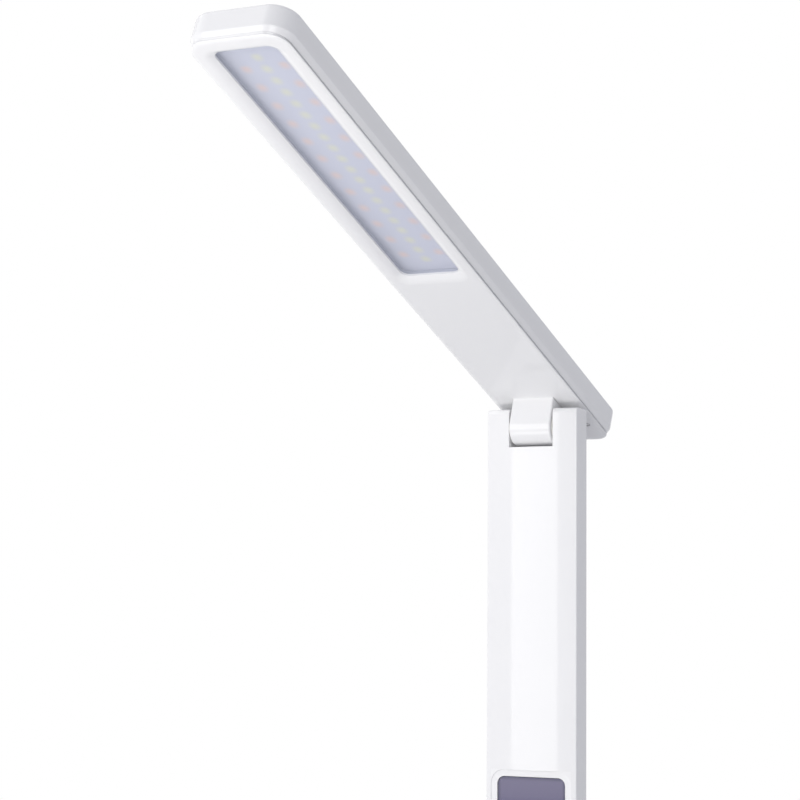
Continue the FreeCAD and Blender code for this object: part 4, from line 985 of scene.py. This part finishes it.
def addCamera():
    yaw, pitch, roll = (math.radians(view[key]) for key in ("yaw", "pitch", "roll"))
    ahead = Vector((-math.sin(yaw) * math.cos(pitch), math.cos(yaw) * math.cos(pitch), math.sin(pitch)))
    right = Vector((math.cos(yaw), math.sin(yaw), 0))
    up = right.cross(ahead)
    right, up = right * math.cos(roll) + up * math.sin(roll), up * math.cos(roll) - right * math.sin(roll)
    camera = bpy.data.objects.new("camera", bpy.data.cameras.new("camera"))
    camera.data.sensor_width, camera.data.lens = view["sensor"], view["lens"]
    camera.data.clip_start, camera.data.clip_end = view["clip"]
    turn = Matrix((right, up, -ahead)).transposed().to_4x4()
    camera.matrix_world = Matrix.Translation(view["place"]) @ turn
    scene.collection.objects.link(camera)
    scene.camera = camera


# Light: tall box in front on the left, smaller one on the right, low panel over the table, broad box overhead,
# and an even sky that the camera, gloss and glass see as white
light = {
    "sky": (0.445, 0.452, 0.5), "warmth": (1.0, 0.988, 0.955), "white": (1.0, 1.0, 1.0),
    "boxes": {
        "stripBox": {"place": (-0.64, -1.43, 0.54), "aim": (0.0, 0.0, 0.54), "size": (0.54, 1.0), "radiance": 2.12},
        "fillBox": {"place": (0.5, -1.4, 0.6), "aim": (0.0, 0.0, 0.33), "size": (0.6, 0.6), "radiance": 2.7},
        "tableBox": {"place": (-0.2, -0.42, 0.012), "aim": (-0.2, -0.38, 0.42), "size": (0.85, 0.3), "radiance": 2.4},
        "overhead": {"place": (-1.1, -0.5, 1.5), "aim": (-0.4, -0.2, 0.0), "size": (1.4, 1.4), "radiance": 0.97},
    },
    "floor": (0.73, 0.73, 0.74), "floorShade": 0.98, "floorReach": 2.2, "cameraFade": (-0.4, 1.2),
    "glossFade": (0.1, 0.7),
}


def addLights():
    for name, box in light["boxes"].items():
        lamp = bpy.data.lights.new(name, "AREA")
        lamp.shape = "RECTANGLE"
        lamp.size, lamp.size_y = box["size"]
        lamp.color = light["warmth"]
        lamp.energy = box["radiance"] * math.pi * lamp.size * lamp.size_y
        holder = bpy.data.objects.new(name, lamp)
        holder.location = box["place"]
        holder.rotation_euler = (Vector(box["aim"]) - Vector(box["place"])).to_track_quat("-Z", "Y").to_euler()
        holder.visible_camera = False
        scene.collection.objects.link(holder)
    world = bpy.data.worlds.new("studio")
    scene.world = world
    world.use_nodes = True
    paint = Paint("", world.node_tree)
    seen = paint.ray("Camera").most(paint.ray("Glossy")).most(paint.ray("Transmission"))
    sky = paint.node("ShaderNodeBackground", {}, {"Color": light["sky"], "Strength": 1.0})
    white = paint.node("ShaderNodeBackground", {}, {"Color": light["white"], "Strength": 1.0})
    both = paint.node("ShaderNodeMixShader", {}, {0: seen, 1: sky, 2: white})
    paint.tree.links.new(both.socket, paint.tree.nodes["World Output"].inputs["Surface"])


def addFloor():
    # a disc that is lit near the lamp and fades to plain white for the camera further out
    shell = Shell()
    reach = light["floorReach"]
    y, x, z = spun([(0, 0), (reach * 0.5, 0), (reach, 0)], 96)
    shell.grid(np.stack([x, z, y], -1), True)
    mesh = bpy.data.meshes.new("floor")
    mesh.from_pydata(shell.spots[0].tolist(), [], shell.faces[0].tolist())
    floor = bpy.data.objects.new("floor", mesh)
    scene.collection.objects.link(floor)
    paint = Paint("paleFloor")
    u, v, w = paint.parts(paint.coords())
    far = (u * u + v * v).root()
    seen = (far.rise(*light["cameraFade"]) * paint.ray("Camera")).most(
        far.rise(*light["glossFade"]) * paint.ray("Glossy"))
    grain = paint.noise(60, 3)
    shade = tuple(light["floorShade"] * part for part in light["floor"])
    paint.set(Base_Color=paint.mix(grain, light["floor"], shade), Roughness=0.6)
    white = paint.node("ShaderNodeEmission", {}, {"Color": light["white"], "Strength": 1.0})
    both = paint.node("ShaderNodeMixShader", {}, {0: seen, 1: Wire(paint, paint.shader.outputs[0]), 2: white})
    paint.tree.links.new(both.socket, paint.tree.nodes["Material Output"].inputs["Surface"])
    mesh.materials.append(paint.material)


addCamera()
addLights()
addFloor()
print("camera, lights and floor made")
